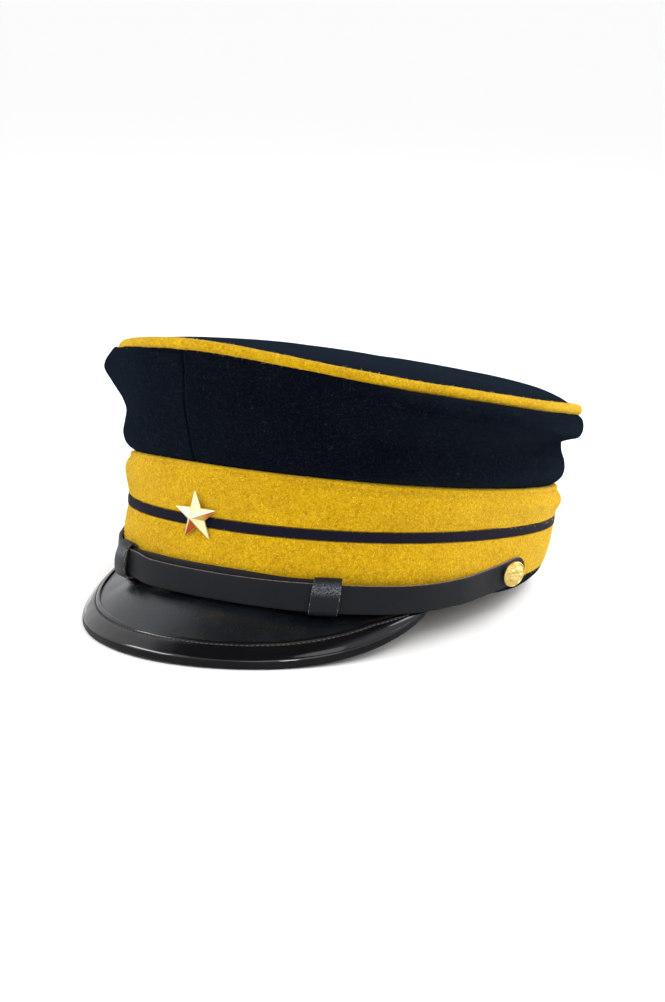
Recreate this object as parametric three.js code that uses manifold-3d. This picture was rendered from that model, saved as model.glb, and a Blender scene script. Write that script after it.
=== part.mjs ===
// A peaked uniform cap: a yellow felt band with a navy stripe, a soft navy crown with a
// piped edge, a black leather visor, a two-part chin strap and a small star badge.
//
// Millimetres, +Z up. The cap faces -Y, and +X is the wearer's left. It is built about the
// centre of its lower rim, then tipped back to lie on its visor and the back of its rim.

import * as THREE from 'three';
import Module from 'manifold-3d';
import { mergeVertices } from 'three/addons/utils/BufferGeometryUtils.js';

// ---------------------------------------------------------------- driving sizes

const GAP = 0.3;            // room left between pieces that touch
const REST_TILT = 6.95;     // degrees that the cap leans back when it lies on a table

// ovals seen from above: half length along Y, half width along X, and how square they are
const BAND_OVAL = { halfLength: 105.7, halfWidth: 88.1, power: 2.2 };
const PIPING_OVAL = { halfLength: 118.9, halfWidth: 98.0, power: 1.9 };

const BAND = { wall: 2.4, hemHeight: 4.8, ridge: 0.6, ridgeBelowTop: 6.0, topTuck: 1.0 };
const STRIPE = { middle: 26.5, width: 4.2, thickness: 1.2, groove: 1.0 };
const PIPING = { radius: 2.15, sides: 8 };
// the piping is high in front, falls towards the back and is slightly saddle-shaped
const PIPING_LINE = { height: 83.7, fall: 0.0955, saddle: 0.0004 };
// the seam between band and crown falls towards the back
const CROWN_SEAM = { height: 46.6, fall: 0.051 };
const CROWN = { wall: 2.0, domeRise: 13.0, domeInset: 2.6, domeFullness: 1.75, domeEdge: 0.58 };
const DOME_RINGS = [1, 0.93, 0.8, 0.5];     // shares of the way out where the dome bends

// the visor's lower edge, as a half oval that rises towards its two ends
const VISOR_EDGE = { halfWidth: 82.3, back: -50.9, reach: 85.7, power: 1.9, low: -28.9 };
const VISOR_LIFT = { first: 3.8, second: 18.9 };
const VISOR = { thickness: 2.0, hornThickness: 1.0, bulge: 1.8, fullAtReach: 14.0, endAngle: 92 };
// how far under the band the visor folds out, and where that changes from side to front
const VISOR_FOLD = { front: 5.0, side: 7.4, horn: 1.0, out: 0.1, sideUntil: 0.88, frontFrom: 0.98 };
const RIM = { width: 10.0, leather: 0.9, greatestShare: 0.7, noseIn: 0.85, noseUp: 0.7 };
const RIM_NOSE = [54, 18, -18, -54];        // degrees round the rim's rounded edge

// the strap's rounded end lies a few degrees past its button, where it has risen a bit more
const STRAP = { width: 11.2, thickness: 1.5, buttonHeight: 8.1, pastButton: 6, endRise: 1.1 };
const KEEPER = { width: 12.0, wall: 1.2, cavity: 13.2, bevel: 0.5 };
const BUTTON = { radius: 5.8, dome: 1.2, rim: 0.8, shank: 1.5, hole: 1.8, drill: 20, segments: 20 };
// where a button sits, in degrees behind the side, and how the strap's pull turns it forwards
// and down. Its back stands off the band by its own length of shank
const BUTTON_SEAT = { behind: 1, height: 8.6, standoff: 3.8, turn: 14, nod: 5 };
const STAR = { tipRadius: 11.5, notchRadius: 4.8, rise: 4.2, edge: 0.8, points: 5 };
// the star leans forwards on its pin, so that its lower points touch the felt
const STAR_SEAT = { height: 28.6, standoff: 1.4, lean: 2, nod: 7 };

// chin strap layers: how far their inner faces stand off the band
const STANDOFF = { button: 0.6, inner: 1.8, outer: 3.6 };
// the same along each strap, in degrees from its button: it steps over the visor's horn
const STRAP_CLEARANCE = [
  { fromButton: 8, left: STANDOFF.button, right: STANDOFF.button },
  { fromButton: 22, left: 2.2, right: 2.2 },
  { fromButton: 34, left: 3.4, right: 3.2 },
  { fromButton: 44, left: STANDOFF.outer, right: STANDOFF.inner },
];
// height of each strap's middle along the front, by direction: -90 is straight ahead. The
// layers lie in line inside the keepers and slip apart a little between them
const STRAP_LEVELS = [
  { direction: -119, left: 2.4, right: 3.2 },
  { direction: -110, left: 2.4, right: 3.3 },
  { direction: -102, left: 1.0, right: 3.6 },
  { direction: -68, left: 1.0, right: 3.6 },
  { direction: -61, left: 1.1, right: 1.8 },
  { direction: -53, left: 1.1, right: 1.8 },
];
// where each strap starts to rise to its button, and how gently
const STRAP_RISE = { left: { angle: 43, power: 1.7 }, right: { angle: 63, power: 1.2 } };
const KEEPERS = [
  { name: 'strap_keeper_left', direction: -57.3, middle: 1.35 },
  { name: 'strap_keeper_right', direction: -114.5, middle: 2.9 },
];
const STEP = 7.5;           // degrees between the sections of every ring
const STRAP_STEP = 3;       // degrees between the sections of a strap
const END_TURNS = [80, 60, 40, 20];     // degrees round a strap's rounded end

// crown wall, from the band seam (up 0) to the piping seam (up 1), in three directions:
// straight ahead, at the front quarters and round the back. Each first column is the share of
// the way from the band's oval to the piping's, and each second one the bulge added outwards.
// The front is drawn straight, the quarters bulge, and the back hangs in a fold over a nearly
// upright lower part.
const CROWN_PROFILE = [
  { up: 0.00, front: [0.00, -1.2], quarter: [0.0, -0.6], back: [0.0, -2.0] },
  { up: 0.10, front: [0.10, 0.7], quarter: [0.0, 4.2], back: [0.0, 0.2] },
  { up: 0.22, front: [0.25, 1.0], quarter: [0.0, 4.4], back: [0.0, 2.4] },
  { up: 0.40, front: [0.50, 1.0], quarter: [0.0, 3.0], back: [0.0, 1.2] },
  { up: 0.56, front: [0.70, 1.0], quarter: [0.2, 5.2], back: [0.0, 0.4] },
  { up: 0.69, front: [0.80, 0.5], quarter: [0.6, 7.8], back: [0.1, 1.6] },
  { up: 0.76, front: [0.87, 0.3], quarter: [0.8, 8.8], back: [1.0, 2.6] },
  { up: 0.84, front: [0.93, 0.6], quarter: [1.0, 9.4], back: [1.0, 3.2] },
  { up: 0.93, front: [1.00, 0.5], quarter: [1.0, 8.4], back: [1.0, 2.8] },
  { up: 1.00, front: [1.00, 0.6], quarter: [1.0, 2.2], back: [1.0, 0.8] },
];
// where the front and the back take over from the quarters, as sines of the direction
const FRONT_FROM = 0.6;
const BACK_BETWEEN = [-0.3, 0.5];
// directions in degrees of the crown's two seams: the front one leans a little
const FRONT_SEAM = { bottom: -92.8, top: -91.4 };
const BACK_SEAM = 90;
const SEAM_TRIM = THREE.MathUtils.radToDeg(GAP / 2 / BAND_OVAL.halfLength);

// ---------------------------------------------------------------- heights and ovals

const radians = (degrees) => THREE.MathUtils.degToRad(degrees);
const mix = THREE.MathUtils.lerp;
const smooth = THREE.MathUtils.smoothstep;

/** Height of the seam between band and crown. */
const crownSeam = (y) => CROWN_SEAM.height - CROWN_SEAM.fall * y;

/** Height of the piping's centre. */
const pipingHeight = (y) => PIPING_LINE.height - PIPING_LINE.fall * y + PIPING_LINE.saddle * y * y;

/** Distance from the centre to an oval, grown by an offset, in one direction. */
function ovalRadius(oval, angle, offset = 0) {
  const acrossShare = Math.abs(Math.cos(angle)) / (oval.halfWidth + offset);
  const alongShare = Math.abs(Math.sin(angle)) / (oval.halfLength + offset);
  const sum = acrossShare ** oval.power + alongShare ** oval.power;
  return sum ** (-1 / oval.power);
}

/** A point outside (or inside) the band's oval at a height. */
function besideBand(angle, offset, height) {
  const radius = ovalRadius(BAND_OVAL, angle, offset);
  return new THREE.Vector3(radius * Math.cos(angle), radius * Math.sin(angle), height);
}

/** Angles in degrees from first to last, evenly spaced. */
function angleRange(first, last, count) {
  return Array.from({ length: count + 1 }, (_, index) => mix(first, last, index / count));
}

/** Angles once round, without the last one that would repeat the first. */
const wholeTurn = () => angleRange(-90, 270, 360 / STEP).slice(0, -1);

// ---------------------------------------------------------------- solids from sections

/** Makes a geometry from points and triangles, with its faces turned outwards. */
function closedGeometry(points, triangles) {
  let volume = 0;
  for (const [a, b, c] of triangles) {
    volume += points[a].dot(points[b].clone().cross(points[c]));
  }
  const facing = volume > 0 ? triangles : triangles.map(([a, b, c]) => [a, c, b]);
  const geometry = new THREE.BufferGeometry();
  geometry.setAttribute('position', new THREE.Float32BufferAttribute(points.flatMap((p) => p.toArray()), 3));
  geometry.setIndex(facing.flat());
  return geometry;
}

/**
 * A wall between two skins. Each skin is a list of sections, and each section a list of
 * points. A ring joins its last section to its first, and a loop joins its last point to
 * its first.
 */
function wallGeometry(outside, inside, { ring = false, loop = false } = {}) {
  const sections = outside.length;
  const across = outside[0].length;
  const points = [...outside.flat(), ...inside.flat()];
  const outer = (i, j) => (i % sections) * across + (j % across);
  const inner = (i, j) => outer(i, j) + sections * across;
  const triangles = [];
  const quad = (a, b, c, d) => triangles.push([a, b, c], [a, c, d]);
  const sectionSteps = ring ? sections : sections - 1;
  const acrossSteps = loop ? across : across - 1;
  for (let i = 0; i < sectionSteps; i += 1) {
    for (let j = 0; j < acrossSteps; j += 1) {
      quad(outer(i, j), outer(i + 1, j), outer(i + 1, j + 1), outer(i, j + 1));
      quad(inner(i, j + 1), inner(i + 1, j + 1), inner(i + 1, j), inner(i, j));
    }
    if (!loop) {
      quad(inner(i, 0), inner(i + 1, 0), outer(i + 1, 0), outer(i, 0));
      quad(outer(i, across - 1), outer(i + 1, across - 1), inner(i + 1, across - 1), inner(i, across - 1));
    }
  }
  if (!ring) {
    for (let j = 0; j < acrossSteps; j += 1) {
      const last = sections - 1;
      quad(inner(0, j), outer(0, j), outer(0, j + 1), inner(0, j + 1));
      quad(outer(last, j), inner(last, j), inner(last, j + 1), outer(last, j + 1));
    }
  }
  return closedGeometry(points, triangles);
}

/** A solid ring, such as a cord round the edge: every section is a closed loop of points. */
function ringGeometry(sections) {
  const across = sections[0].length;
  const at = (i, j) => (i % sections.length) * across + (j % across);
  const triangles = [];
  sections.forEach((section, i) => {
    section.forEach((_, j) => {
      triangles.push([at(i, j), at(i + 1, j), at(i + 1, j + 1)]);
      triangles.push([at(i, j), at(i + 1, j + 1), at(i, j + 1)]);
    });
  });
  return closedGeometry(sections.flat(), triangles);
}

/** A shallow lid: two skins of rings that each close on a point in the middle. */
function lidGeometry(outside, inside, outsideMiddle, insideMiddle) {
  const rings = outside.length;
  const around = outside[0].length;
  const points = [...outside.flat(), ...inside.flat(), outsideMiddle, insideMiddle];
  const outer = (i, j) => i * around + (j % around);
  const inner = (i, j) => outer(i, j) + rings * around;
  const outerTop = 2 * rings * around;
  const innerTop = outerTop + 1;
  const triangles = [];
  const quad = (a, b, c, d) => triangles.push([a, b, c], [a, c, d]);
  for (let j = 0; j < around; j += 1) {
    quad(inner(0, j), inner(0, j + 1), outer(0, j + 1), outer(0, j));
    for (let i = 0; i < rings - 1; i += 1) {
      quad(outer(i, j), outer(i, j + 1), outer(i + 1, j + 1), outer(i + 1, j));
      quad(inner(i + 1, j), inner(i + 1, j + 1), inner(i, j + 1), inner(i, j));
    }
    triangles.push([outer(rings - 1, j), outer(rings - 1, j + 1), outerTop]);
    triangles.push([inner(rings - 1, j + 1), inner(rings - 1, j), innerTop]);
  }
  return closedGeometry(points, triangles);
}

/** Moves a section's line sideways by a distance, along its own normals. */
function shiftLine(line, distance) {
  return line.map((point, index) => {
    const before = line[Math.max(index - 1, 0)];
    const after = line[Math.min(index + 1, line.length - 1)];
    const along = new THREE.Vector2().subVectors(after, before).normalize();
    return new THREE.Vector2(point.x - along.y * distance, point.y + along.x * distance);
  });
}

// ---------------------------------------------------------------- finishes

const finish = (colour, roughness, metalness = 0) => (
  new THREE.MeshStandardMaterial({ color: colour, roughness, metalness })
);
const YELLOW_FELT = finish(0xd8a81e, 0.95);
const NAVY_WOOL = finish(0x10182a, 0.95);
const NAVY_BRAID = finish(0x1a1630, 0.85);
const STRAP_LEATHER = finish(0x2a2b2e, 0.5);
const VISOR_LEATHER = finish(0x1a1c20, 0.4);
const PATENT_LEATHER = finish(0x0c0c0e, 0.12);
const BRASS = finish(0xd9b44a, 0.25, 1);

const cap = new THREE.Group();

function addPiece(name, geometry, material) {
  const piece = new THREE.Mesh(geometry, material);
  piece.name = name;
  cap.add(piece);
  return piece;
}

// ---------------------------------------------------------------- the band

/** A plain upright ring between two offsets from the band's oval and two heights. */
function plainRing(innerOffset, outerOffset, bottom, top) {
  const skin = (offset) => wholeTurn().map((angle) => (
    [bottom, top].map((height) => besideBand(radians(angle), offset, height))
  ));
  return wallGeometry(skin(outerOffset), skin(innerOffset), { ring: true });
}

/** The felt band: a groove for the stripe, and a soft ridge just under the crown. */
function feltBand() {
  const halfGroove = STRIPE.width / 2 + GAP;
  const outside = [];
  const inside = [];
  for (const degrees of wholeTurn()) {
    const angle = radians(degrees);
    const top = crownSeam(besideBand(angle, 0, 0).y) - GAP / 2;
    const section = [
      { offset: 0, height: BAND.hemHeight + GAP },
      { offset: 0, height: STRIPE.middle - halfGroove },
      { offset: -STRIPE.groove, height: STRIPE.middle - halfGroove },
      { offset: -STRIPE.groove, height: STRIPE.middle + halfGroove },
      { offset: 0, height: STRIPE.middle + halfGroove },
      { offset: BAND.ridge, height: top - BAND.ridgeBelowTop },
      { offset: -BAND.topTuck, height: top },
    ];
    const lowest = section[0].height;
    outside.push(section.map(({ offset, height }) => besideBand(angle, offset, height)));
    inside.push(section.map((_, row) => (
      besideBand(angle, -BAND.wall, mix(lowest, top, row / (section.length - 1)))
    )));
  }
  return wallGeometry(outside, inside, { ring: true });
}

addPiece('band', feltBand(), YELLOW_FELT);
addPiece('band_hem', plainRing(-BAND.wall, 0, 0, BAND.hemHeight), NAVY_WOOL);

const stripeInner = GAP - STRIPE.groove;
const stripeBottom = STRIPE.middle - STRIPE.width / 2;
addPiece(
  'band_stripe',
  plainRing(stripeInner, stripeInner + STRIPE.thickness, stripeBottom, stripeBottom + STRIPE.width),
  NAVY_BRAID,
);

// ---------------------------------------------------------------- the crown

/** The crown wall's outer line at one angle: x is the distance out, y the height. */
function crownLine(angle) {
  const bandRadius = ovalRadius(BAND_OVAL, angle);
  const pipingRadius = ovalRadius(PIPING_OVAL, angle);
  const seam = crownSeam(bandRadius * Math.sin(angle)) + GAP / 2;
  const top = pipingHeight(pipingRadius * Math.sin(angle)) - PIPING.radius - GAP;
  const frontShare = smooth(-Math.sin(angle), FRONT_FROM, 1);
  const backShare = smooth(Math.sin(angle), ...BACK_BETWEEN);
  return CROWN_PROFILE.map((row) => {
    const read = (column) => (
      mix(mix(row.quarter[column], row.front[column], frontShare), row.back[column], backShare)
    );
    return new THREE.Vector2(mix(bandRadius, pipingRadius, read(0)) + read(1), mix(seam, top, row.up));
  });
}

/** One half of the crown's wall, from the front seam round to the back seam. */
function crownSide(turnToBack) {
  const outside = [];
  const inside = [];
  const sections = Math.round(180 / STEP);
  for (let section = 0; section <= sections; section += 1) {
    const skin = (depth) => CROWN_PROFILE.map(({ up }, row) => {
      const front = mix(FRONT_SEAM.bottom, FRONT_SEAM.top, up);
      const back = turnToBack > 0 ? BACK_SEAM : BACK_SEAM - 360;
      const trim = Math.sign(turnToBack) * SEAM_TRIM;
      const angle = radians(mix(front + trim, back - trim, section / sections));
      const line = crownLine(angle);
      const point = depth > 0 ? shiftLine(line, depth)[row] : line[row];
      return new THREE.Vector3(point.x * Math.cos(angle), point.x * Math.sin(angle), point.y);
    });
    outside.push(skin(0));
    inside.push(skin(CROWN.wall));
  }
  return wallGeometry(outside, inside);
}

addPiece('crown_side_left', crownSide(1), NAVY_WOOL);
addPiece('crown_side_right', crownSide(-1), NAVY_WOOL);

/** The yellow cord round the crown's upper edge. */
function crownPiping() {
  return ringGeometry(wholeTurn().map((degrees) => {
    const angle = radians(degrees);
    const radius = ovalRadius(PIPING_OVAL, angle);
    const height = pipingHeight(radius * Math.sin(angle));
    return angleRange(0, 360, PIPING.sides).slice(0, -1).map((turn) => {
      const out = radius + PIPING.radius * Math.cos(radians(turn));
      const up = height + PIPING.radius * Math.sin(radians(turn));
      return new THREE.Vector3(out * Math.cos(angle), out * Math.sin(angle), up);
    });
  }));
}
addPiece('crown_piping', crownPiping(), YELLOW_FELT);

/** The crown's top: a soft dome inside the piping. */
function crownTop() {
  const skin = (drop, inset) => DOME_RINGS.map((share) => wholeTurn().map((degrees) => {
    const angle = radians(degrees);
    const edge = ovalRadius(PIPING_OVAL, angle) - CROWN.domeInset - inset;
    const x = share * edge * Math.cos(angle);
    const y = share * edge * Math.sin(angle);
    const rise = CROWN.domeRise * (1 - share ** CROWN.domeFullness) ** CROWN.domeEdge;
    return new THREE.Vector3(x, y, pipingHeight(y) + rise - drop);
  }));
  const middle = (drop) => new THREE.Vector3(0, 0, pipingHeight(0) + CROWN.domeRise - drop);
  return lidGeometry(skin(0, 0), skin(CROWN.wall, GAP), middle(0), middle(CROWN.wall));
}
addPiece('crown_top', crownTop(), NAVY_WOOL);

// ---------------------------------------------------------------- the visor

/** The visor's lower outer edge at one sweep angle: 0 in front, 90 at the widest. */
function visorEdge(sweep) {
  const power = 2 / VISOR_EDGE.power;
  const signed = (value) => Math.sign(value) * Math.abs(value) ** power;
  const fall = 1 - Math.cos(sweep);
  return new THREE.Vector3(
    VISOR_EDGE.halfWidth * signed(Math.sin(sweep)),
    VISOR_EDGE.back - VISOR_EDGE.reach * signed(Math.cos(sweep)),
    VISOR_EDGE.low + VISOR_LIFT.first * fall + VISOR_LIFT.second * fall * fall,
  );
}

/** The visor's section at one sweep angle, as lines of (distance past the band, height). */
function visorSection(sweep) {
  const edge = visorEdge(sweep);
  const angle = Math.atan2(edge.y, edge.x);
  const reach = Math.hypot(edge.x, edge.y) - ovalRadius(BAND_OVAL, angle);
  const full = THREE.MathUtils.clamp(reach / VISOR.fullAtReach, 0, 1);
  const thickness = mix(VISOR.hornThickness, VISOR.thickness, full);
  const nose = thickness / 2 + GAP + RIM.leather;
  const middle = new THREE.Vector2(reach - RIM.noseIn * nose, edge.z + RIM.noseUp * nose);
  const { front, side, horn, out, sideUntil, frontFrom } = VISOR_FOLD;
  const foldDepth = mix(side, front, smooth(-Math.sin(angle), sideUntil, frontFrom));
  const fold = new THREE.Vector2(out, -mix(horn, foldDepth, full));
  const rimShare = Math.min(RIM.width / fold.distanceTo(middle), RIM.greatestShare);
  return { angle, full, thickness, middle, fold, rimShare };
}

const sweeps = angleRange(-VISOR.endAngle, VISOR.endAngle, 34).map(radians);

function atAngle(line, angle) {
  return line.map((point) => besideBand(angle, point.x, point.y));
}

/** The top line of the visor's panel, from under the band to inside the rim. */
function panelTop({ fold, middle, thickness, full, rimShare }) {
  const along = new THREE.Vector2().subVectors(middle, fold).normalize();
  const up = new THREE.Vector2(-along.y, along.x);
  const end = middle.clone().addScaledVector(up, thickness / 2);
  const open = 1 - rimShare;
  const line = [new THREE.Vector2(VISOR_FOLD.out, -GAP - VISOR_FOLD.out)];
  for (const share of [0, 0.33 * open, 0.66 * open, open, 1 - rimShare / 2, 1]) {
    const point = new THREE.Vector2().lerpVectors(fold, end, share);
    line.push(point.addScaledVector(up, VISOR.bulge * full * 4 * share * (1 - share)));
  }
  return line;
}

function visorPanel() {
  const outside = [];
  const inside = [];
  for (const sweep of sweeps) {
    const section = visorSection(sweep);
    const top = panelTop(section);
    outside.push(atAngle(top, section.angle));
    inside.push(atAngle(shiftLine(top, -section.thickness), section.angle));
  }
  return wallGeometry(outside, inside);
}
addPiece('visor_panel', visorPanel(), VISOR_LEATHER);

/** The bound rim: a strip of patent leather folded round the panel's edge. */
function visorRim() {
  const skin = (clearance) => sweeps.map((sweep) => {
    const section = visorSection(sweep);
    const top = panelTop(section);
    const upper = shiftLine(top, clearance).slice(-3);
    const lower = shiftLine(top, -section.thickness - clearance).slice(-3).reverse();
    const middle = new THREE.Vector2().lerpVectors(upper.at(-1), lower[0], 0.5);
    const radius = upper.at(-1).distanceTo(middle);
    const up = new THREE.Vector2().subVectors(upper.at(-1), middle).normalize();
    const nose = RIM_NOSE.map((turn) => middle.clone()
      .addScaledVector(new THREE.Vector2(up.y, -up.x), radius * Math.cos(radians(turn)))
      .addScaledVector(up, radius * Math.sin(radians(turn))));
    return atAngle([...upper, ...nose, ...lower], section.angle);
  });
  return wallGeometry(skin(GAP + RIM.leather), skin(GAP));
}
addPiece('visor_rim', visorRim(), PATENT_LEATHER);

// ---------------------------------------------------------------- the chin strap

/** A column of a table read between its rows, whose key column rises. */
function readTable(table, key, value, column) {
  const after = table.findIndex((row) => row[key] > value);
  if (after <= 0) {
    return table.at(after)[column];
  }
  const [low, high] = [table[after - 1], table[after]];
  return mix(low[column], high[column], smooth(value, low[key], high[key]));
}

/** Direction in degrees of a place on a strap, counted from its button. */
const strapDirection = (fromButton, strap) => (strap === 'left' ? -fromButton : fromButton - 180);

/** Height of a strap's middle: nearly level across the front, then up to its button. */
function strapMiddle(fromButton, strap) {
  const level = readTable(STRAP_LEVELS, 'direction', strapDirection(fromButton, strap), strap);
  const { angle, power } = STRAP_RISE[strap];
  const rise = THREE.MathUtils.clamp(1 - fromButton / angle, 0, STRAP.endRise) ** power;
  return mix(level, STRAP.buttonHeight, rise);
}

// across a strap's end at the button, one degree is this long
const mmPerDegree = radians(BAND_OVAL.halfWidth);

/** One strap, from its rounded end past the button to its square end under the far keeper. */
function chinStrap(strap, farAngle) {
  const endRadius = STRAP.width / 2;
  const start = -STRAP.pastButton;
  const outside = [];
  const inside = [];
  const roundEnd = END_TURNS.map((turn) => start - endRadius * Math.sin(radians(turn)) / mmPerDegree);
  const straightRun = angleRange(start, farAngle, Math.round((farAngle - start) / STRAP_STEP));
  for (const fromButton of [...roundEnd, ...straightRun]) {
    const angle = radians(strapDirection(fromButton, strap));
    const past = Math.min(0, fromButton - start) * mmPerDegree;
    const halfWidth = Math.sqrt(endRadius ** 2 - past ** 2);
    const middle = strapMiddle(Math.max(fromButton, start), strap);
    const clear = readTable(STRAP_CLEARANCE, 'fromButton', fromButton, strap);
    const skin = (offset) => [-halfWidth, halfWidth].map((rise) => (
      besideBand(angle, offset, middle + rise)
    ));
    outside.push(skin(clear + STRAP.thickness));
    inside.push(skin(clear));
  }
  return wallGeometry(outside, inside);
}

const wasm = await Module();
wasm.setup();

function toManifold(geometry) {
  const plain = geometry.clone();
  for (const name of Object.keys(plain.attributes)) {
    if (name !== 'position') {
      plain.deleteAttribute(name);
    }
  }
  const merged = mergeVertices(plain);
  return new wasm.Manifold(new wasm.Mesh({
    numProp: 3,
    vertProperties: new Float32Array(merged.attributes.position.array),
    triVerts: new Uint32Array(merged.index.array),
  }));
}

function fromManifold(solid) {
  const mesh = solid.getMesh();
  const geometry = new THREE.BufferGeometry();
  geometry.setAttribute('position', new THREE.BufferAttribute(mesh.vertProperties, 3));
  geometry.setIndex(new THREE.BufferAttribute(mesh.triVerts, 1));
  return geometry;
}

/** The place of a button's back, as a matrix that takes +Y to the way the button faces. */
function buttonSeat(side) {
  const { behind, height, standoff, turn, nod } = BUTTON_SEAT;
  const facing = new THREE.Vector3(side, 0, 0)
    .applyAxisAngle(new THREE.Vector3(0, 0, 1), -side * radians(turn))
    .applyAxisAngle(new THREE.Vector3(0, 1, 0), side * radians(nod));
  const quaternion = new THREE.Quaternion().setFromUnitVectors(new THREE.Vector3(0, 1, 0), facing);
  const place = besideBand(radians(side > 0 ? behind : 180 - behind), standoff, height);
  return new THREE.Matrix4().compose(place, quaternion, new THREE.Vector3(1, 1, 1));
}

/** The strap with the hole that its button's shank goes through. */
function withShankHole(strap, side) {
  const drill = new THREE.CylinderGeometry(BUTTON.hole, BUTTON.hole, BUTTON.drill, BUTTON.segments);
  drill.applyMatrix4(buttonSeat(side));
  return fromManifold(toManifold(strap).subtract(toManifold(drill)));
}

const leftKeeper = KEEPERS[0].direction;
const rightKeeper = KEEPERS[1].direction;
const leftStrap = chinStrap('left', -rightKeeper + 2);
const rightStrap = chinStrap('right', 180 + leftKeeper + 2);
addPiece('chin_strap_left', withShankHole(leftStrap, 1), STRAP_LEATHER);
addPiece('chin_strap_right', withShankHole(rightStrap, -1), STRAP_LEATHER);

/** A keeper: a flat leather loop round both layers of the strap. */
function strapKeeper({ direction, middle }) {
  const nearFace = STANDOFF.inner - GAP;
  const farFace = STANDOFF.outer + STRAP.thickness + GAP;
  const halfHeight = KEEPER.cavity / 2;
  const { bevel, wall, width } = KEEPER;
  const halfAngle = THREE.MathUtils.radToDeg(width / 2 / ovalRadius(BAND_OVAL, radians(direction), farFace));
  const loop = (grow) => [
    [nearFace - grow, -halfHeight - grow + bevel], [nearFace - grow, halfHeight + grow - bevel],
    [nearFace - grow + bevel, halfHeight + grow], [farFace + grow - bevel, halfHeight + grow],
    [farFace + grow, halfHeight + grow - bevel], [farFace + grow, -halfHeight - grow + bevel],
    [farFace + grow - bevel, -halfHeight - grow], [nearFace - grow + bevel, -halfHeight - grow],
  ];
  const skin = (grow) => angleRange(direction - halfAngle, direction + halfAngle, 2).map((degrees) => (
    loop(grow).map(([offset, rise]) => besideBand(radians(degrees), offset, middle + rise))
  ));
  return wallGeometry(skin(wall), skin(0), { loop: true });
}
for (const keeper of KEEPERS) {
  addPiece(keeper.name, strapKeeper(keeper), STRAP_LEATHER);
}

/** A domed brass button on a plain shank, with its back at the height 0 of its own axis. */
function strapButton() {
  const slant = radians(Math.hypot(BUTTON_SEAT.turn, BUTTON_SEAT.nod));
  const shankLength = (BUTTON_SEAT.standoff - GAP - BUTTON.shank * Math.sin(slant)) / Math.cos(slant);
  const dome = angleRange(0, 90, 4).map((turn) => new THREE.Vector2(
    BUTTON.radius * Math.cos(radians(turn)),
    BUTTON.rim + BUTTON.dome * Math.sin(radians(turn)),
  ));
  dome[dome.length - 1].x = 0;
  return new THREE.LatheGeometry([
    new THREE.Vector2(0, -shankLength),
    new THREE.Vector2(BUTTON.shank, -shankLength),
    new THREE.Vector2(BUTTON.shank, 0),
    new THREE.Vector2(BUTTON.radius, 0),
    ...dome,
  ], BUTTON.segments);
}

for (const [name, side] of [['button_left', 1], ['button_right', -1]]) {
  addPiece(name, strapButton(), BRASS).applyMatrix4(buttonSeat(side));
}

// ---------------------------------------------------------------- the star badge

/** A five-pointed star in relief: a ridge runs from its middle to every point and notch. */
function starBadge() {
  const corners = angleRange(0, 360, 2 * STAR.points).slice(0, -1).map((turn, index) => {
    const radius = index % 2 === 0 ? STAR.tipRadius : STAR.notchRadius;
    return new THREE.Vector2(radius * Math.sin(radians(turn)), radius * Math.cos(radians(turn)));
  });
  const back = corners.map((corner) => new THREE.Vector3(corner.x, 0, corner.y));
  const front = corners.map((corner) => new THREE.Vector3(corner.x, -STAR.edge, corner.y));
  const count = corners.length;
  const points = [...back, ...front, new THREE.Vector3(), new THREE.Vector3(0, -STAR.rise - STAR.edge, 0)];
  const triangles = [];
  for (let index = 0; index < count; index += 1) {
    const next = (index + 1) % count;
    triangles.push([index, next, 2 * count], [count + index, 2 * count + 1, count + next]);
    triangles.push([index, count + index, count + next], [index, count + next, next]);
  }
  return closedGeometry(points, triangles);
}

const star = addPiece('star_badge', starBadge(), BRASS);
star.rotation.set(radians(STAR_SEAT.nod), -radians(STAR_SEAT.lean), 0);
star.position.set(0, -BAND_OVAL.halfLength - STAR_SEAT.standoff, STAR_SEAT.height);

// ---------------------------------------------------------------- at rest on a table

// the cap tips back on its rim, and the middle of its footprint becomes the origin
cap.rotation.x = -radians(REST_TILT);
cap.updateMatrixWorld(true);
const extent = new THREE.Box3().setFromObject(cap, true);
const footprint = extent.getCenter(new THREE.Vector3());
cap.position.set(-footprint.x, -footprint.y, -extent.min.z);
cap.updateMatrixWorld(true);

export default cap;
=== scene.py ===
# %% [markdown]
# # A peaked uniform cap
#
# This lesson dresses a finished CAD model of a peaked cap: a yellow felt band with a navy
# stripe, a soft navy crown with a piped edge, a black leather peak, a chin strap in two
# layers and a small gilt star. The CAD model holds the sizes and never moves. Each soft or
# fine piece is built again here, in the same place, with the detail that the real one shows.

# %% The frame
import math

import bmesh
import bpy
import numpy as np
from mathutils import Matrix, Vector, noise


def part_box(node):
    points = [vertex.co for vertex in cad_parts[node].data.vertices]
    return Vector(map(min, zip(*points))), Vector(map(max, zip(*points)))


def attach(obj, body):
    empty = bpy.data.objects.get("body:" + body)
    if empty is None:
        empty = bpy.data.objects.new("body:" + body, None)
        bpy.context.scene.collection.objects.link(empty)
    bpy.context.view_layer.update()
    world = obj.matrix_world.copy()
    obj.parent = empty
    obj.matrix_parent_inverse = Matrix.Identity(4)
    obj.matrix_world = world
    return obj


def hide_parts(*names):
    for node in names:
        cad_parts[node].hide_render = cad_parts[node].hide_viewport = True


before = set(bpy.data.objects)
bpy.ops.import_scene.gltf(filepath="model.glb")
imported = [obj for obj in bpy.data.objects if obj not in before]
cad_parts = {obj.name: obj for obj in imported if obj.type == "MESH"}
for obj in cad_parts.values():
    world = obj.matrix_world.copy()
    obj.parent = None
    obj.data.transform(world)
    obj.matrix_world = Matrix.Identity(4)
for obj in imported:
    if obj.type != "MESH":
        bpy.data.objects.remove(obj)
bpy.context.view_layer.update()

print("nodes in the frame:", len(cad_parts))

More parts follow.
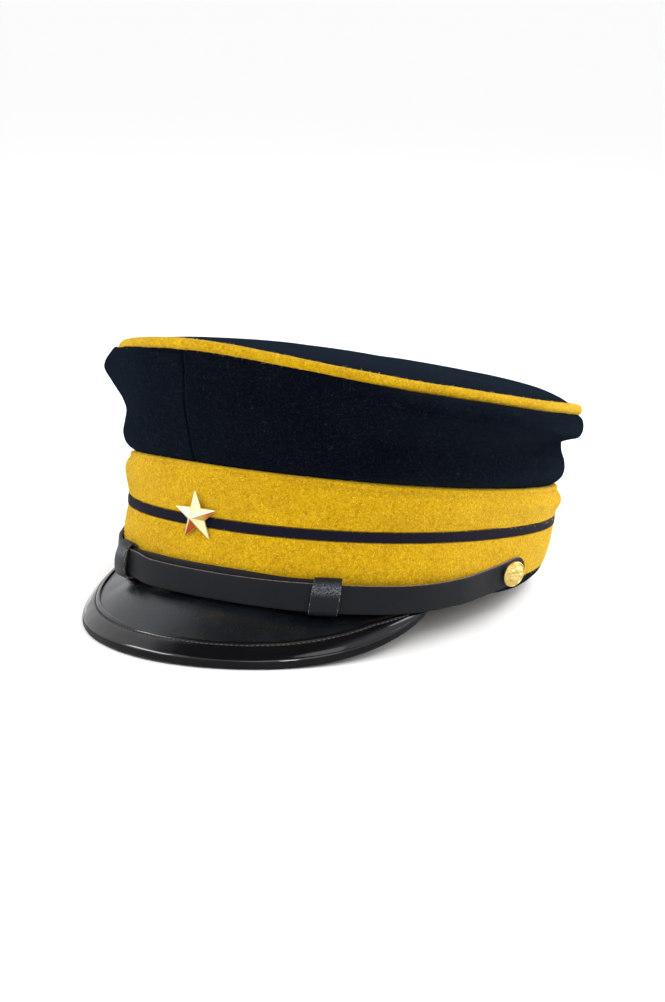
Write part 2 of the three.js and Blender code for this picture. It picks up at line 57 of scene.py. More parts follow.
# %% [markdown]
# ## The cap's own axes
#
# A cap maker measures from the lower rim: how far round, how far out and how high. The cap
# lies on its peak and the back of its rim, so those axes lean back. The middle of the
# stripe's box is a point on the cap's axis, and the lean does the rest. All sizes below are
# millimetres on these axes, and one function carries them to Blender's metres.

# %% From the cap's axes to the scene
MM = 0.001
REST_TILT = math.radians(6.95)
STRIPE = {"middle": 26.5, "width": 4.2, "inner": -0.7, "outer": 0.35}

stripe_low, stripe_high = (Vector(corner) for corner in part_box("band_stripe"))
LEAN = Matrix.Rotation(-REST_TILT, 3, "X")
RIM_CENTRE = (stripe_low + stripe_high) / 2 - LEAN @ Vector((0, 0, STRIPE["middle"] * MM))


def to_scene(points):
    """Carries points from the cap's own millimetres to the scene's metres."""
    return np.asarray(points, float) @ (np.array(LEAN).T * MM) + np.array(RIM_CENTRE)


print("middle of the rim:", [round(value, 4) for value in RIM_CENTRE])

# %% [markdown]
# ## The ovals
#
# A head is an oval that is a little squarer than an ellipse. The same formula gives the
# band's oval and the larger one under the piping, so the two need three numbers each.
# Directions are angles seen from above: -90 degrees is the front, 0 is the wearer's left.

# %% Ovals and heights
BAND_OVAL = {"half_length": 105.7, "half_width": 88.1, "power": 2.2}
PIPING_OVAL = {"half_length": 118.9, "half_width": 98.0, "power": 1.9}
CROWN_SEAM = {"height": 46.6, "fall": 0.051}
PIPING_SEAM = {"height": 83.7, "fall": 0.0955, "saddle": 0.0004}


def oval_radius(oval, angle, offset=0.0):
    """Distance from the axis to an oval that is grown by an offset."""
    across = np.abs(np.cos(angle)) / (oval["half_width"] + offset)
    along = np.abs(np.sin(angle)) / (oval["half_length"] + offset)
    return (across ** oval["power"] + along ** oval["power"]) ** (-1 / oval["power"])


def turned(angle, radius, height):
    """Points at a distance from the axis, in a direction and at a height."""
    angle, radius, height = np.broadcast_arrays(angle, radius, height)
    return np.stack([radius * np.cos(angle), radius * np.sin(angle), height], -1)


def beside_band(angle, offset, height):
    """Points outside (or inside) the band's oval."""
    return turned(angle, oval_radius(BAND_OVAL, angle, offset), height)


def crown_seam(y):
    """Height of the seam between band and crown, which falls towards the back."""
    return CROWN_SEAM["height"] - CROWN_SEAM["fall"] * y


def piping_height(y):
    """Height of the piping's middle: high in front, lower behind, slightly saddle-shaped."""
    return PIPING_SEAM["height"] - PIPING_SEAM["fall"] * y + PIPING_SEAM["saddle"] * y * y


def ease(value, low, high):
    """Rises smoothly from 0 to 1 between two values."""
    share = np.clip((value - low) / (high - low), 0, 1)
    return share * share * (3 - 2 * share)


def mix(first, second, share):
    return first + (second - first) * share


def directions(first, last, count, ring=False):
    """Angles in radians from first to last degrees, as a column."""
    return np.radians(np.linspace(first, last, count, endpoint=not ring))[:, None]


print("band is", round(2 * BAND_OVAL["half_length"]), "by", round(2 * BAND_OVAL["half_width"]))

# %% [markdown]
# ## Lofting
#
# Almost every piece of a cap is a section that is carried round the head. One function
# builds them all: it takes a grid of points, one row for each section, joins the rows with
# faces and writes a UV map in millimetres, so that a weave can follow the strip.

# %% From points to a piece
SMOOTH_UP_TO = math.radians(38)


def show(name, data):
    """Puts a mesh, a light or a camera into the scene."""
    thing = bpy.data.objects.new(name, data)
    bpy.context.scene.collection.objects.link(thing)
    return thing


def new_mesh(name, points, faces):
    """A mesh from points in the cap's millimetres."""
    mesh = bpy.data.meshes.new(name)
    mesh.from_pydata(to_scene(points.reshape(-1, 3)).tolist(), [], faces)
    return mesh


def finish_mesh(name, mesh):
    """Turns the faces outwards, shades them smoothly up to sharp edges and shows the piece."""
    shape = bmesh.new()
    shape.from_mesh(mesh)
    bmesh.ops.remove_doubles(shape, verts=shape.verts, dist=1e-7)
    bmesh.ops.recalc_face_normals(shape, faces=shape.faces)
    shape.to_mesh(mesh)
    shape.free()
    mesh.shade_smooth()
    mesh.set_sharp_from_angle(angle=SMOOTH_UP_TO)
    print(f"{name}: {len(mesh.polygons)} faces")
    return show(name, mesh)


def wear(piece, slot, *finishes, instead_of=None):
    """Gives a piece its finishes, hangs it on the cap and hides the node that it stands for."""
    for finish in finishes:
        piece.data.materials.append(finish.material)
    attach(piece, "root")
    if instead_of:
        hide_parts(instead_of)


print("faces are shaded smoothly up to", round(math.degrees(SMOOTH_UP_TO)), "degrees")

# %% The loft
def loft(name, grid, ring=True, closed=True, face_slots=None):
    """Makes a piece from a grid of points: rows are sections, columns run round a section.

    A ring joins its last section to its first, and a closed section joins its last point to
    its first. face_slots gives each column of faces a material number."""
    rows, columns, _ = grid.shape
    along = np.linalg.norm(np.roll(grid, -1, 0) - grid, axis=2).mean(1)
    across = np.linalg.norm(np.roll(grid, -1, 1) - grid, axis=2).mean(0)
    u = np.concatenate([[0], np.cumsum(along)])
    v = np.concatenate([[0], np.cumsum(across)])
    faces, corners, slots = [], [], []
    for i in range(rows if ring else rows - 1):
        for j in range(columns if closed else columns - 1):
            right, up = (i + 1) % rows, (j + 1) % columns
            faces.append((i * columns + j, right * columns + j, right * columns + up, i * columns + up))
            corners += [(u[i], v[j]), (u[i + 1], v[j]), (u[i + 1], v[j + 1]), (u[i], v[j + 1])]
            slots.append(face_slots[j] if face_slots is not None else 0)
    if not ring:
        for i in (0, rows - 1):
            faces.append(tuple(range(i * columns, (i + 1) * columns)))
            corners += [(u[i], v[j]) for j in range(columns)]
            slots.append(max(slots))
    mesh = new_mesh(name, grid, faces)
    layer = mesh.uv_layers.new(name="strip_mm")
    layer.data.foreach_set("uv", np.array(corners, "f").ravel())
    mesh.polygons.foreach_set("material_index", slots)
    return finish_mesh(name, mesh)


print("sections can be lofted")

# %% Smooth lines and random lumps
def curve_through(corners, count):
    """A smooth line of count points that passes through the given corners."""
    corners = np.asarray(corners, float)
    last = corners.shape[-2] - 1
    before = 2 * corners[..., :1, :] - corners[..., 1:2, :]
    after = 2 * corners[..., -1:, :] - corners[..., -2:-1, :]
    padded = np.concatenate([before, corners, after], axis=-2)
    place = np.linspace(0, last, count)
    start = np.minimum(place.astype(int), last - 1)
    t = (place - start)[:, None]
    a, b, c, d = (padded[..., start + step, :] for step in range(4))
    return (2 * b + (c - a) * t + (2 * a - 5 * b + 4 * c - d) * t**2
            + (3 * b - a - 3 * c + d) * t**3) / 2


def unevenness(points, size, seed=0.0):
    """A smooth random value from about -1 to 1 at each point, with lumps of one size in mm."""
    flat = np.asarray(points, float).reshape(-1, 3) / size + (seed, 7.3 * seed, -3.1 * seed)
    values = [noise.noise(Vector(point)) for point in flat]
    return np.array(values).reshape(np.shape(points)[:-1])


print("a lump at 1, 2, 3:", unevenness([(1, 2, 3)], 1.7).round(3))

# %% [markdown]
# ## Shader building blocks
#
# A material here is a node tree that is built in code. A small class keeps that readable: it
# adds a node, sets its values, plugs in its links and gives back one output. Effects that
# several materials share are node groups. Their coordinates are the piece's own position in
# millimetres, so every size in a material is a real size.

# %% Nodes
class Nodes:
    """A node tree under construction. Values are numbers, colours or other nodes' outputs."""

    def __init__(self, tree):
        self.tree = tree

    def plug(self, value, socket):
        if isinstance(value, bpy.types.NodeSocket):
            self.tree.links.new(value, socket)
        elif socket.type == "RGBA":
            socket.default_value = (*value[:3], 1.0)
        else:
            socket.default_value = value

    def add(self, kind, output, **values):
        """Adds a node. Lower-case names are its options, the others its inputs: I0 is the first."""
        node = self.tree.nodes.new("ShaderNode" + kind)
        for name, value in values.items():
            if name[0].islower():
                setattr(node, name, value)
            else:
                place = int(name[1:]) if name[1:].isdigit() else name.replace("_", " ")
                self.plug(value, node.inputs[place])
        return node.outputs[output]

    def noise(self, place, scale, detail=2.0, roughness=0.5, distortion=0.0, output="Fac"):
        return self.add("TexNoise", output, Vector=place, Scale=scale, Detail=detail,
                        Roughness=roughness, Distortion=distortion)

    def span(self, value, low, high, to_low=0.0, to_high=1.0, **options):
        """Carries the span from low to high over to another span."""
        return self.add("MapRange", "Result", Value=value, From_Min=low, From_Max=high,
                        To_Min=to_low, To_Max=to_high, **options)

    def calculate(self, operation, first, second=0.0, third=0.0):
        return self.add("Math", 0, operation=operation, I0=first, I1=second, I2=third)

    def ramp(self, factor, *stops):
        """A colour ramp with stops of (position, colour)."""
        output = self.add("ValToRGB", "Color", Fac=factor)
        elements = output.node.color_ramp.elements
        while len(elements) < len(stops):
            elements.new(0.5)
        for element, (position, colour) in zip(elements, stops):
            element.position = position
            element.color = (*colour, 1.0)
        return output

    def blend(self, factor, first, second, kind="MIX"):
        """Mixes two colours."""
        return self.add("Mix", 2, data_type="RGBA", blend_type=kind, I0=factor, I6=first, I7=second)

    def use(self, group, **inputs):
        """Places an effect on the piece's own position in millimetres, and gives its outputs."""
        place = self.millimetres()
        return self.add("Group", 0, node_tree=group.tree, Coordinates=place, **inputs).node.outputs

    def millimetres(self):
        place = self.add("TexCoord", "Object")
        return self.add("VectorMath", 0, operation="SCALE", I0=place, Scale=1000.0)

    def along_strip(self):
        """Distance along a lofted strip, in millimetres."""
        return self.add("SeparateXYZ", "X", Vector=self.add("UVMap", 0, uv_map="strip_mm"))


print("a node tree can be written")

# %% Materials and shared effects
class Finish(Nodes):
    """A material, with its Principled shader's own values set by name."""

    def __init__(self, name, **values):
        self.material = bpy.data.materials.new(name)
        self.material.use_nodes = True
        super().__init__(self.material.node_tree)
        self.shader = self.tree.nodes["Principled BSDF"]
        for label, value in values.items():
            self.plug(value, self.shader.inputs[label.replace("_", " ")])

    def dress(self, colour, height, depth_mm, roughness=None):
        """Plugs in the colour, and a bump whose height has a full range of depth_mm."""
        self.plug(colour, self.shader.inputs["Base Color"])
        if roughness is not None:
            self.plug(roughness, self.shader.inputs["Roughness"])
        bump = self.add("Bump", "Normal", Strength=1.0, Distance=depth_mm * MM, Height=height)
        self.plug(bump, self.shader.inputs["Normal"])
        print("finish:", self.material.name)


class Effect(Nodes):
    """A node group: coordinates and numbers go in, and numbers come out."""

    def __init__(self, name, **inputs):
        super().__init__(bpy.data.node_groups.new(name, "ShaderNodeTree"))
        sockets = self.tree.interface
        sockets.new_socket("Coordinates", in_out="INPUT", socket_type="NodeSocketVector")
        for label, value in inputs.items():
            socket = sockets.new_socket(label, in_out="INPUT", socket_type="NodeSocketFloat")
            socket.default_value = value
        self.given = self.tree.nodes.new("NodeGroupInput").outputs
        self.place = self.given["Coordinates"]

    def scale_of(self, label):
        """The noise scale that gives features of an input's size in millimetres."""
        return self.calculate("DIVIDE", 1.0, self.given[label])

    def warped(self, scale, reach):
        """The coordinates, pushed about by a noise, so that what follows looks curled."""
        push = self.noise(self.place, scale, output="Color")
        return self.add("VectorMath", 0, operation="MULTIPLY_ADD", I0=push, I1=(reach,) * 3, I2=self.place)

    def give(self, **outputs):
        for label in outputs:
            self.tree.interface.new_socket(label, in_out="OUTPUT", socket_type="NodeSocketFloat")
        result = self.tree.nodes.new("NodeGroupOutput").inputs
        for label, value in outputs.items():
            self.plug(value, result[label])
        print("effect:", self.tree.name, list(outputs))


print("materials and effects can be made")

# %% [markdown]
# ## The fibre effect
#
# Felt and milled wool have no visible weave. What shows is a tangle of short fibres, soft
# tufts a millimetre or two across, and larger patches where the nap was brushed another
# way. The felt, the wool and the braid all need this, so it is one group.

# %% Effect: fibre tangle
tangle = Effect("fibre_tangle", Fibre=0.35, Tuft=1.4, Patch=14.0)
tuft_scale = tangle.scale_of("Tuft")
curled = tangle.warped(tuft_scale, 1.8)
fibres = tangle.noise(curled, tangle.scale_of("Fibre"), 3.0, 0.65, 1.2)
tufts = tangle.noise(curled, tuft_scale, 3.0, 0.6, 0.6)
patches = tangle.noise(tangle.place, tangle.scale_of("Patch"), 3.0)
low_tufts = tangle.calculate("MULTIPLY", tufts, 0.45)
height = tangle.calculate("MULTIPLY_ADD", fibres, 0.55, low_tufts)
tangle.give(Fibres=fibres, Tufts=tufts, Patches=patches, Height=height)

# %% [markdown]
# ## The leather effect
#
# Smooth leather still has pores and a faint pebble, and its dye lies a little unevenly. The
# group makes the pebble from cells whose edges sink in, adds fine pores, and gives a slow
# cloudiness that each leather uses to vary its shine.

# %% Effect: leather grain
grain = Effect("leather_grain", Pebble=0.9, Cloud=18.0)
pebble_scale = grain.scale_of("Pebble")
cells = grain.add("TexVoronoi", "Distance", feature="DISTANCE_TO_EDGE",
                  Vector=grain.warped(pebble_scale, 0.5), Scale=pebble_scale)
pebbles = grain.span(cells, 0.0, 0.28, interpolation_type="SMOOTHSTEP")
pores = grain.noise(grain.place, grain.calculate("MULTIPLY", pebble_scale, 3.2))
low_pebbles = grain.calculate("MULTIPLY", pebbles, 0.7)
height = grain.calculate("MULTIPLY_ADD", pores, 0.3, low_pebbles)
creases = grain.calculate("SUBTRACT", 1.0, pebbles)
clouds = grain.noise(grain.place, grain.scale_of("Cloud"), 4.0, 0.55)
grain.give(Height=height, Creases=creases, Clouds=clouds)

# %% [markdown]
# ## The handled metal effect
#
# Brass that people touch is never evenly bright. The group gives patches of dullness for
# the roughness, a warm tarnish mask, and hair-fine scratches for the bump.

# %% Effect: handled metal
handled = Effect("handled_metal", Bright=0.2, Dull=0.4)
smears = handled.noise(handled.place, 0.55, 4.0, 0.6)
dulled = handled.span(smears, 0.35, 0.65, handled.given["Bright"], handled.given["Dull"])
tarnish = handled.span(smears, 0.5, 0.75)
stretched = handled.add("Mapping", 0, Vector=handled.place, Scale=(0.6, 9.0, 3.0))
handled.give(Roughness=dulled, Tarnish=tarnish, Height=handled.noise(stretched, 1.6))

# %% [markdown]
# ## Yellow felt
#
# The band and the piping are one cloth: a thick golden felt with a hairy surface. The tufts
# drive its colour, so that hollows between them are deep ochre and raised hairs are pale.
# Sheen adds the soft light that loose fibres catch where the surface turns away.

# %% Finish: yellow felt
yellow_felt = Finish("yellow_felt", Roughness=0.95, Specular_IOR_Level=0.08,
                     Sheen_Weight=0.16, Sheen_Roughness=0.5, Sheen_Tint=(1.0, 0.80, 0.25))
fuzz = yellow_felt.use(tangle, Fibre=0.6, Tuft=1.3, Patch=17.0)
tuft_colour = yellow_felt.ramp(fuzz["Tufts"], (0.32, (0.40, 0.225, 0.0012)),
                               (0.50, (0.535, 0.316, 0.0025)), (0.68, (0.62, 0.380, 0.006)))
patch_tone = yellow_felt.ramp(fuzz["Patches"], (0.3, (0.88, 0.85, 0.8)), (0.7, (1.0, 1.0, 1.0)))
hair_tone = yellow_felt.ramp(fuzz["Fibres"], (0.34, (0.68, 0.63, 0.4)), (0.66, (1.26, 1.29, 1.7)))
colour = yellow_felt.blend(1.0, tuft_colour, patch_tone, "MULTIPLY")
colour = yellow_felt.blend(1.0, colour, hair_tone, "MULTIPLY")
pale_hairs = yellow_felt.calculate("MULTIPLY", yellow_felt.span(fuzz["Fibres"], 0.62, 0.74), 0.6)
yellow_felt.dress(yellow_felt.blend(pale_hairs, colour, (0.88, 0.66, 0.15)), fuzz["Height"], 0.5)
felt_hair = Finish("felt_hair", Base_Color=(0.80, 0.60, 0.12), Roughness=0.8, Specular_IOR_Level=0.2)

# %% [markdown]
# ## Navy wool
#
# The crown is a milled wool cloth, nearly black, with a slight blue bloom and a few short
# threads of pale lint. The bloom is sheen. The lint is a thin line in a noise pattern, shown
# in a few spots only: it is cheap, and looks as curly and irregular as real fluff.

# %% Finish: navy wool
navy_wool = Finish("navy_wool", Roughness=1.0, Specular_IOR_Level=0.0,
                   Sheen_Weight=0.029, Sheen_Roughness=0.5, Sheen_Tint=(0.42, 0.68, 1.0))
fuzz = navy_wool.use(tangle, Fibre=0.55, Tuft=1.4, Patch=22.0)
wool_tone = navy_wool.ramp(fuzz["Fibres"], (0.3, (0.0010, 0.0013, 0.0023)),
                           (0.55, (0.0020, 0.0026, 0.0048)), (0.72, (0.014, 0.019, 0.032)))
patch_tone = navy_wool.ramp(fuzz["Patches"], (0.3, (0.75, 0.8, 0.85)), (0.7, (1.15, 1.1, 1.05)))
colour = navy_wool.blend(1.0, wool_tone, patch_tone, "MULTIPLY")
# lint: the thin lines where a slow noise crosses its middle, kept only in a few small spots
place = navy_wool.millimetres()
off_line = navy_wool.calculate("SUBTRACT", navy_wool.noise(place, 0.55, 1.0, distortion=0.8), 0.5)
line = navy_wool.span(navy_wool.calculate("ABSOLUTE", off_line), 0.010, 0.002)
spot = navy_wool.span(navy_wool.noise(place, 0.24, 1.0), 0.66, 0.72)
lint = navy_wool.calculate("MULTIPLY", navy_wool.calculate("MULTIPLY", line, spot), 0.3)
navy_wool.dress(navy_wool.blend(lint, colour, (0.10, 0.11, 0.13)), fuzz["Height"], 0.5)

# %% [markdown]
# ## Navy braid
#
# The stripe is a flat woven braid with fine ribs across it. The ribs follow the strip's own
# UV map, in millimetres, so that they stay square to the braid all round the head.

# %% Finish: navy braid
navy_braid = Finish("navy_braid", Roughness=0.85, Specular_IOR_Level=0.12)
strip = navy_braid.add("UVMap", 0, uv_map="strip_mm")
ribs = navy_braid.add("TexWave", "Fac", bands_direction="X", Vector=strip, Scale=0.42,
                      Distortion=0.6, Detail=1.0)
threads = navy_braid.add("TexWave", "Fac", bands_direction="Y", Vector=strip, Scale=0.7)
fuzz = navy_braid.use(tangle, Fibre=0.3, Tuft=1.2, Patch=20.0)
weave = navy_braid.calculate("MULTIPLY", fuzz["Fibres"], 0.4)
for part, share in ((threads, 0.2), (ribs, 0.6)):
    weave = navy_braid.calculate("MULTIPLY_ADD", part, share, weave)
navy_braid.dress(navy_braid.ramp(weave, (0.2, (0.0012, 0.0010, 0.005)), (0.9, (0.006, 0.005, 0.016))),
                 weave, 0.18)

# %% [markdown]
# ## The leathers
#
# The strap is smooth and dull. Its keepers are a thinner, grained skin that shines more, and a
# pale band is painted across the upper part of their outer face as a highlight. The peak's
# panel is a satin leather, unpolished at its neck and lined with plain leather, and its bound
# edge is patent leather: a clear coat over almost black, rubbed off on the outermost face.
# One function makes them all, because only sizes, shine and that painted highlight differ.

# %% Finishes: leathers
def leather(name, colour, pebble, depth_mm, dullness, shine=0.5, coat=0.0, painted_highlight_band=None):
    """A dyed leather. dullness is its roughness where smoothest and where dullest; shine is
    how much its surface reflects, and coat is the lacquer over it. The last argument gives
    places along a strip, in mm, between which the grain's tops are painted a pale blue-grey
    highlight that stands in for reflected light."""
    skin = Finish(name, Specular_IOR_Level=shine, Specular_Tint=(0.90, 0.96, 1.0),
                  Coat_Weight=coat, Coat_Roughness=0.06)
    texture = skin.use(grain, Pebble=pebble)
    dark, light = (tuple(share * value for value in colour) for share in (0.6, 1.35))
    tone = skin.ramp(texture["Clouds"], (0.3, dark), (0.7, light))
    tone = skin.blend(skin.calculate("MULTIPLY", texture["Creases"], 0.5), tone, dark)
    if painted_highlight_band:
        fading = (painted_highlight_band[1] - painted_highlight_band[0]) / 2
        off_middle = skin.calculate("SUBTRACT", skin.along_strip(), painted_highlight_band[0] + fading)
        in_painted_highlight = skin.span(skin.calculate("ABSOLUTE", off_middle), 0.0, fading, 1.0, 0.0,
                                interpolation_type="SMOOTHSTEP")
        # painted highlight: inside the band the grain's tops are blended to a pale blue-grey, in place of a
        # reflection
        wear_and_painted_glint = skin.calculate("MULTIPLY", in_painted_highlight, skin.span(texture["Height"], 0.45, 0.95))
        tone = skin.blend(wear_and_painted_glint, tone, (0.25, 0.28, 0.33))
    skin.dress(tone, texture["Height"], depth_mm, skin.span(texture["Clouds"], 0.3, 0.7, *dullness))
    return skin


strap_leather = leather("strap_leather", (0.0055, 0.006, 0.008), 0.5, 0.02, (0.48, 0.60), shine=0.13)
# the keepers get the painted highlight band on the upper part of their outer face
keeper_leather = leather("keeper_leather", (0.006, 0.007, 0.009), 0.45, 0.10, (0.40, 0.52), shine=0.16,
                         painted_highlight_band=(28.0, 35.8))
peak_leather = leather("peak_leather", (0.004, 0.0055, 0.0075), 0.7, 0.012, (0.20, 0.32))
patent_leather = leather("patent_leather", (0.002, 0.002, 0.003), 2.5, 0.01, (0.3, 0.4),
                         shine=0.0, coat=1.0)
worn_patent = leather("worn_patent", (0.005, 0.005, 0.006), 0.8, 0.05, (0.40, 0.55), shine=0.09)
seam_leather = leather("seam_leather", (0.003, 0.003, 0.004), 0.7, 0.02, (0.8, 0.9), shine=0.0)
peak_lining = leather("peak_lining", (0.012, 0.012, 0.013), 0.8, 0.05, (0.55, 0.7))

# %% [markdown]
# ## Raw edges and thread
#
# Where leather is cut, its undyed core shows: pinkish brown on the strap, nearly white on
# the thin keepers. The stitches are a dull grey waxed thread. All are fuzzy, and pale where
# the dye or the wax is off, which is in patches.

# %% Finishes: raw edges and thread
def fuzzy(name, dark, light, patches, sizes, depth_mm, **values):
    """A fuzzy finish, dark to light between two levels of its tufts."""
    finish = Finish(name, **values)
    fuzz = finish.use(tangle, Fibre=sizes[0], Tuft=sizes[1], Patch=sizes[2])
    tone = finish.ramp(fuzz["Tufts"], (patches[0], dark), (patches[1], light))
    finish.dress(tone, fuzz["Height"], depth_mm)
    return finish


CUT = {"sizes": (0.25, 0.9, 9.0), "depth_mm": 0.15, "Roughness": 0.85, "Specular_IOR_Level": 0.2}
strap_edge = fuzzy("strap_raw_edge", (0.07, 0.045, 0.042), (0.27, 0.20, 0.19), (0.35, 0.65), **CUT)
keeper_edge = fuzzy("keeper_raw_edge", (0.028, 0.028, 0.026), (0.42, 0.38, 0.32), (0.52, 0.68), **CUT)
thread = fuzzy("waxed_thread", (0.025, 0.025, 0.025), (0.12, 0.12, 0.13), (0.3, 0.7),
               sizes=(0.12, 0.5, 6.0), depth_mm=0.08, Roughness=0.6, Specular_IOR_Level=0.4)

# %% [markdown]
# ## The metals
#
# The buttons are pressed brass and the star is gilt, both polished but handled. Base colour
# carries the metal's tint, and the handled-metal group varies how sharp its reflections are.
# Two of the star's lower faces are painted a less metallic red-gold, a painted reflection of
# the yellow felt. On one of them the painted reflection gives way to gold towards the middle.

# %% Finishes: brass and gilt
def metal(name, bright, tarnished, roughness, metallic=1.0, middle=None):
    """A polished metal with worn patches. middle is a second colour, shown near the centre."""
    finish = Finish(name, Metallic=metallic)
    wear_and_painted_glint = finish.use(handled, Bright=roughness[0], Dull=roughness[1])
    colour = finish.blend(wear_and_painted_glint["Tarnish"], bright, tarnished)
    if middle:
        colour = finish.blend(finish.span(finish.along_strip(), 4.6, 7.6), middle, colour)
    finish.dress(colour, wear_and_painted_glint["Height"], 0.008, wear_and_painted_glint["Roughness"])
    return finish


brass = metal("pressed_brass", (0.66, 0.50, 0.17), (0.42, 0.28, 0.07), (0.26, 0.40))
gilt = metal("gilt_badge", (0.79, 0.72, 0.41), (0.73, 0.63, 0.34), (0.46, 0.56))
# painted reflection: a red-gold for two lower faces of the star, standing in for the yellow felt seen in
# the gilt
gilt_painted_reflection = metal("gilt_painted_reflection", (0.60, 0.10, 0.025), (0.52, 0.06, 0.02), (0.40, 0.50), metallic=0.3)
gilt_half_painted_reflection = metal("gilt_half_painted_reflection", (0.60, 0.12, 0.03), (0.52, 0.08, 0.02), (0.40, 0.50),
                      metallic=0.3, middle=(0.60, 0.38, 0.07))

# %% [markdown]
# ## The felt band
#
# The band is a strip of felt round a stiff form. From below to above it has a soft lower
# edge, a flat run, the groove where the braid lies, another flat run, a swelling where the
# crown's seam pushes the felt out, a crease, and a small roll that the crown sits on. The
# section is worked out for every direction, and small lumps keep it from looking like plastic.

# %% The band's measures
BAND_WALL = 2.4
HEM_HEIGHT = 4.8
GAP = 0.3
BAND_SECTIONS = 540
# the crown's slack quarter, in degrees, and how far its edge sags over the felt, in mm
SLACK_DIRECTION = -145.0
CROWN_SAG = {"spread": 30.0, "depth": 2.6, "everywhere": 0.9}
# how far the felt puffs out above and below the braid, and how far it tapers in behind
PUFF = {"above": 2.4, "below": 1.35, "everywhere": 0.25}
TAPER = {"reach": 5.2, "below": 26.0, "turned_under": 2.6}

# below the crown's edge: how far down, the offset everywhere, and the part that swells
BAND_TOP_LINE = [
    (17.0, 0.0, 0.0), (14.5, 0.0, 0.1), (12.0, 0.0, 0.6), (9.5, 0.0, 1.4), (7.4, 0.1, 1.9),
    (5.4, 0.1, 1.6), (3.8, 0.0, 0.9), (2.5, -0.45, 0.3), (1.7, -0.1, 0.3), (0.9, 0.15, 0.1),
    (0.3, -0.35, 0.0), (0.0, -1.3, 0.0)]
# beside the braid: (height from its middle, offset), a groove with rounded lips
BRAID_GROOVE = [
    (-2.9, 0.0), (-2.6, -0.08), (-2.45, -0.4), (-2.4, -1.0), (2.4, -1.0), (2.45, -0.4),
    (2.6, -0.08), (2.9, 0.0)]
print("the band's wall is", BAND_WALL, "mm thick")

# %% How the band changes round the head
def columns_of(rows):
    """The columns of a table, each as one row of numbers."""
    return (np.array(column)[None, :] for column in zip(*rows))


def near(angle, direction, spread):
    """1 in one direction, falling off smoothly over a spread in degrees."""
    turn = (np.degrees(angle) - direction + 180) % 360 - 180
    return np.exp(-(turn / spread) ** 2)


def swelling(angle):
    """How far the band swells under the crown: little in front, fully behind."""
    return 0.2 + 0.8 * ease(np.sin(angle), -0.75, 0.75)


def sag_at(angle):
    """How far the crown's edge hangs below its seam."""
    return CROWN_SAG["everywhere"] + CROWN_SAG["depth"] * near(angle, SLACK_DIRECTION, CROWN_SAG["spread"])


def puff_at(angle, height, top):
    """How far the felt puffs out beside the braid: a little everywhere, most at the front quarters."""
    forward = -np.sin(angle)
    share = mix(PUFF["everywhere"], 1, ease(forward, 0.95, 0.65) * ease(forward, 0.1, 0.5))
    above = np.clip((height - STRIPE["middle"] - 3) / (top - STRIPE["middle"] - 3), 0, 1)
    below = np.clip((STRIPE["middle"] - 3 - height) / 20, 0, 1)
    return share * (PUFF["above"] * np.sin(np.pi * above) + PUFF["below"] * np.sin(np.pi * below))


def taper_at(angle, height):
    """How far the lower edge is drawn in at the back."""
    share = np.clip(1 - height / TAPER["below"], 0, 1) ** 1.5
    under = np.clip(1 - height / HEM_HEIGHT, 0, 1) ** 1.6 * (1 - ease(np.sin(angle), 0.75, 1))
    drawn = TAPER["reach"] * share + TAPER["turned_under"] * under
    return -drawn * ease(np.sin(angle), -0.1, 0.6)


print("the crown's edge hangs down by", np.round(sag_at(directions(-150, -90, 3)).ravel(), 2), "mm")

# %% The band
def band_outline(angle):
    """The felt's outer line at each angle, as (offset, height) from its lower edge up."""
    top = crown_seam(beside_band(angle, 0, 0)[..., 1]) - sag_at(angle) - GAP / 2
    base = HEM_HEIGHT + GAP
    lower = [(-0.9, base), (-0.3, base + 0.1), (0.0, base + 0.6)]
    lower += [(0.0, height) for height in np.linspace(base + 1.4, STRIPE["middle"] - 3.6, 20)]
    lower += [(offset, STRIPE["middle"] + rise) for rise, offset in BRAID_GROOVE]
    lower = np.broadcast_to(np.array(lower), (len(angle), len(lower), 2))
    down, offset, swells = columns_of(BAND_TOP_LINE)
    upper = curve_through(np.stack([offset + swelling(angle) * swells, top - down], -1), 44)
    line = np.concatenate([lower, upper], axis=1)
    line[..., 0] += puff_at(angle, line[..., 1], top) + taper_at(angle, line[..., 1])
    return line


angle = directions(-90, 270, BAND_SECTIONS, ring=True)
outline = band_outline(angle)
face = beside_band(angle, outline[..., 0], outline[..., 1])
lumps = 0.10 * unevenness(face, 1.9) + 0.22 * unevenness(face, 11.0, 3.0)
felt_face = beside_band(angle, outline[..., 0] + lumps, outline[..., 1])
inner_heights = np.linspace(outline[:, -1, 1], outline[:, 0, 1], 12, axis=-1)
inner = beside_band(angle, taper_at(angle, inner_heights) - BAND_WALL, inner_heights)
band = loft("felt_band", np.concatenate([felt_face, inner], axis=1))
wear(band, "yellow_felt", yellow_felt, instead_of="band")

# %% [markdown]
# ## The hem and the braid
#
# The hem is the turned edge of the navy cloth, a soft fold under the felt. The braid is flat
# with rounded edges and lies in its groove, a little proud of the felt.

# %% The hem and the braid
HEM_FOLD = [
    (-2.4, 4.6), (-2.45, 2.4), (-2.3, 0.6), (-1.7, 0.05), (-0.9, 0.0), (-0.2, 0.25), (0.15, 0.9),
    (0.2, 2.2), (0.1, 3.6), (-0.15, 4.6), (-0.6, 4.8), (-1.6, 4.8)]

out, up = curve_through(HEM_FOLD + HEM_FOLD[:1], 45)[:-1].T
around = angle[::2]
ripple = 0.12 * unevenness(beside_band(around, out, up), 8.0, 5.0)
settled = 0.4 * ease(np.sin(around), -0.1, 0.6) * (1 - up / HEM_HEIGHT)
hem = loft("hem_fold", beside_band(around, out + ripple + taper_at(around, up), up - settled))
wear(hem, "navy_wool", navy_wool, instead_of="band_hem")

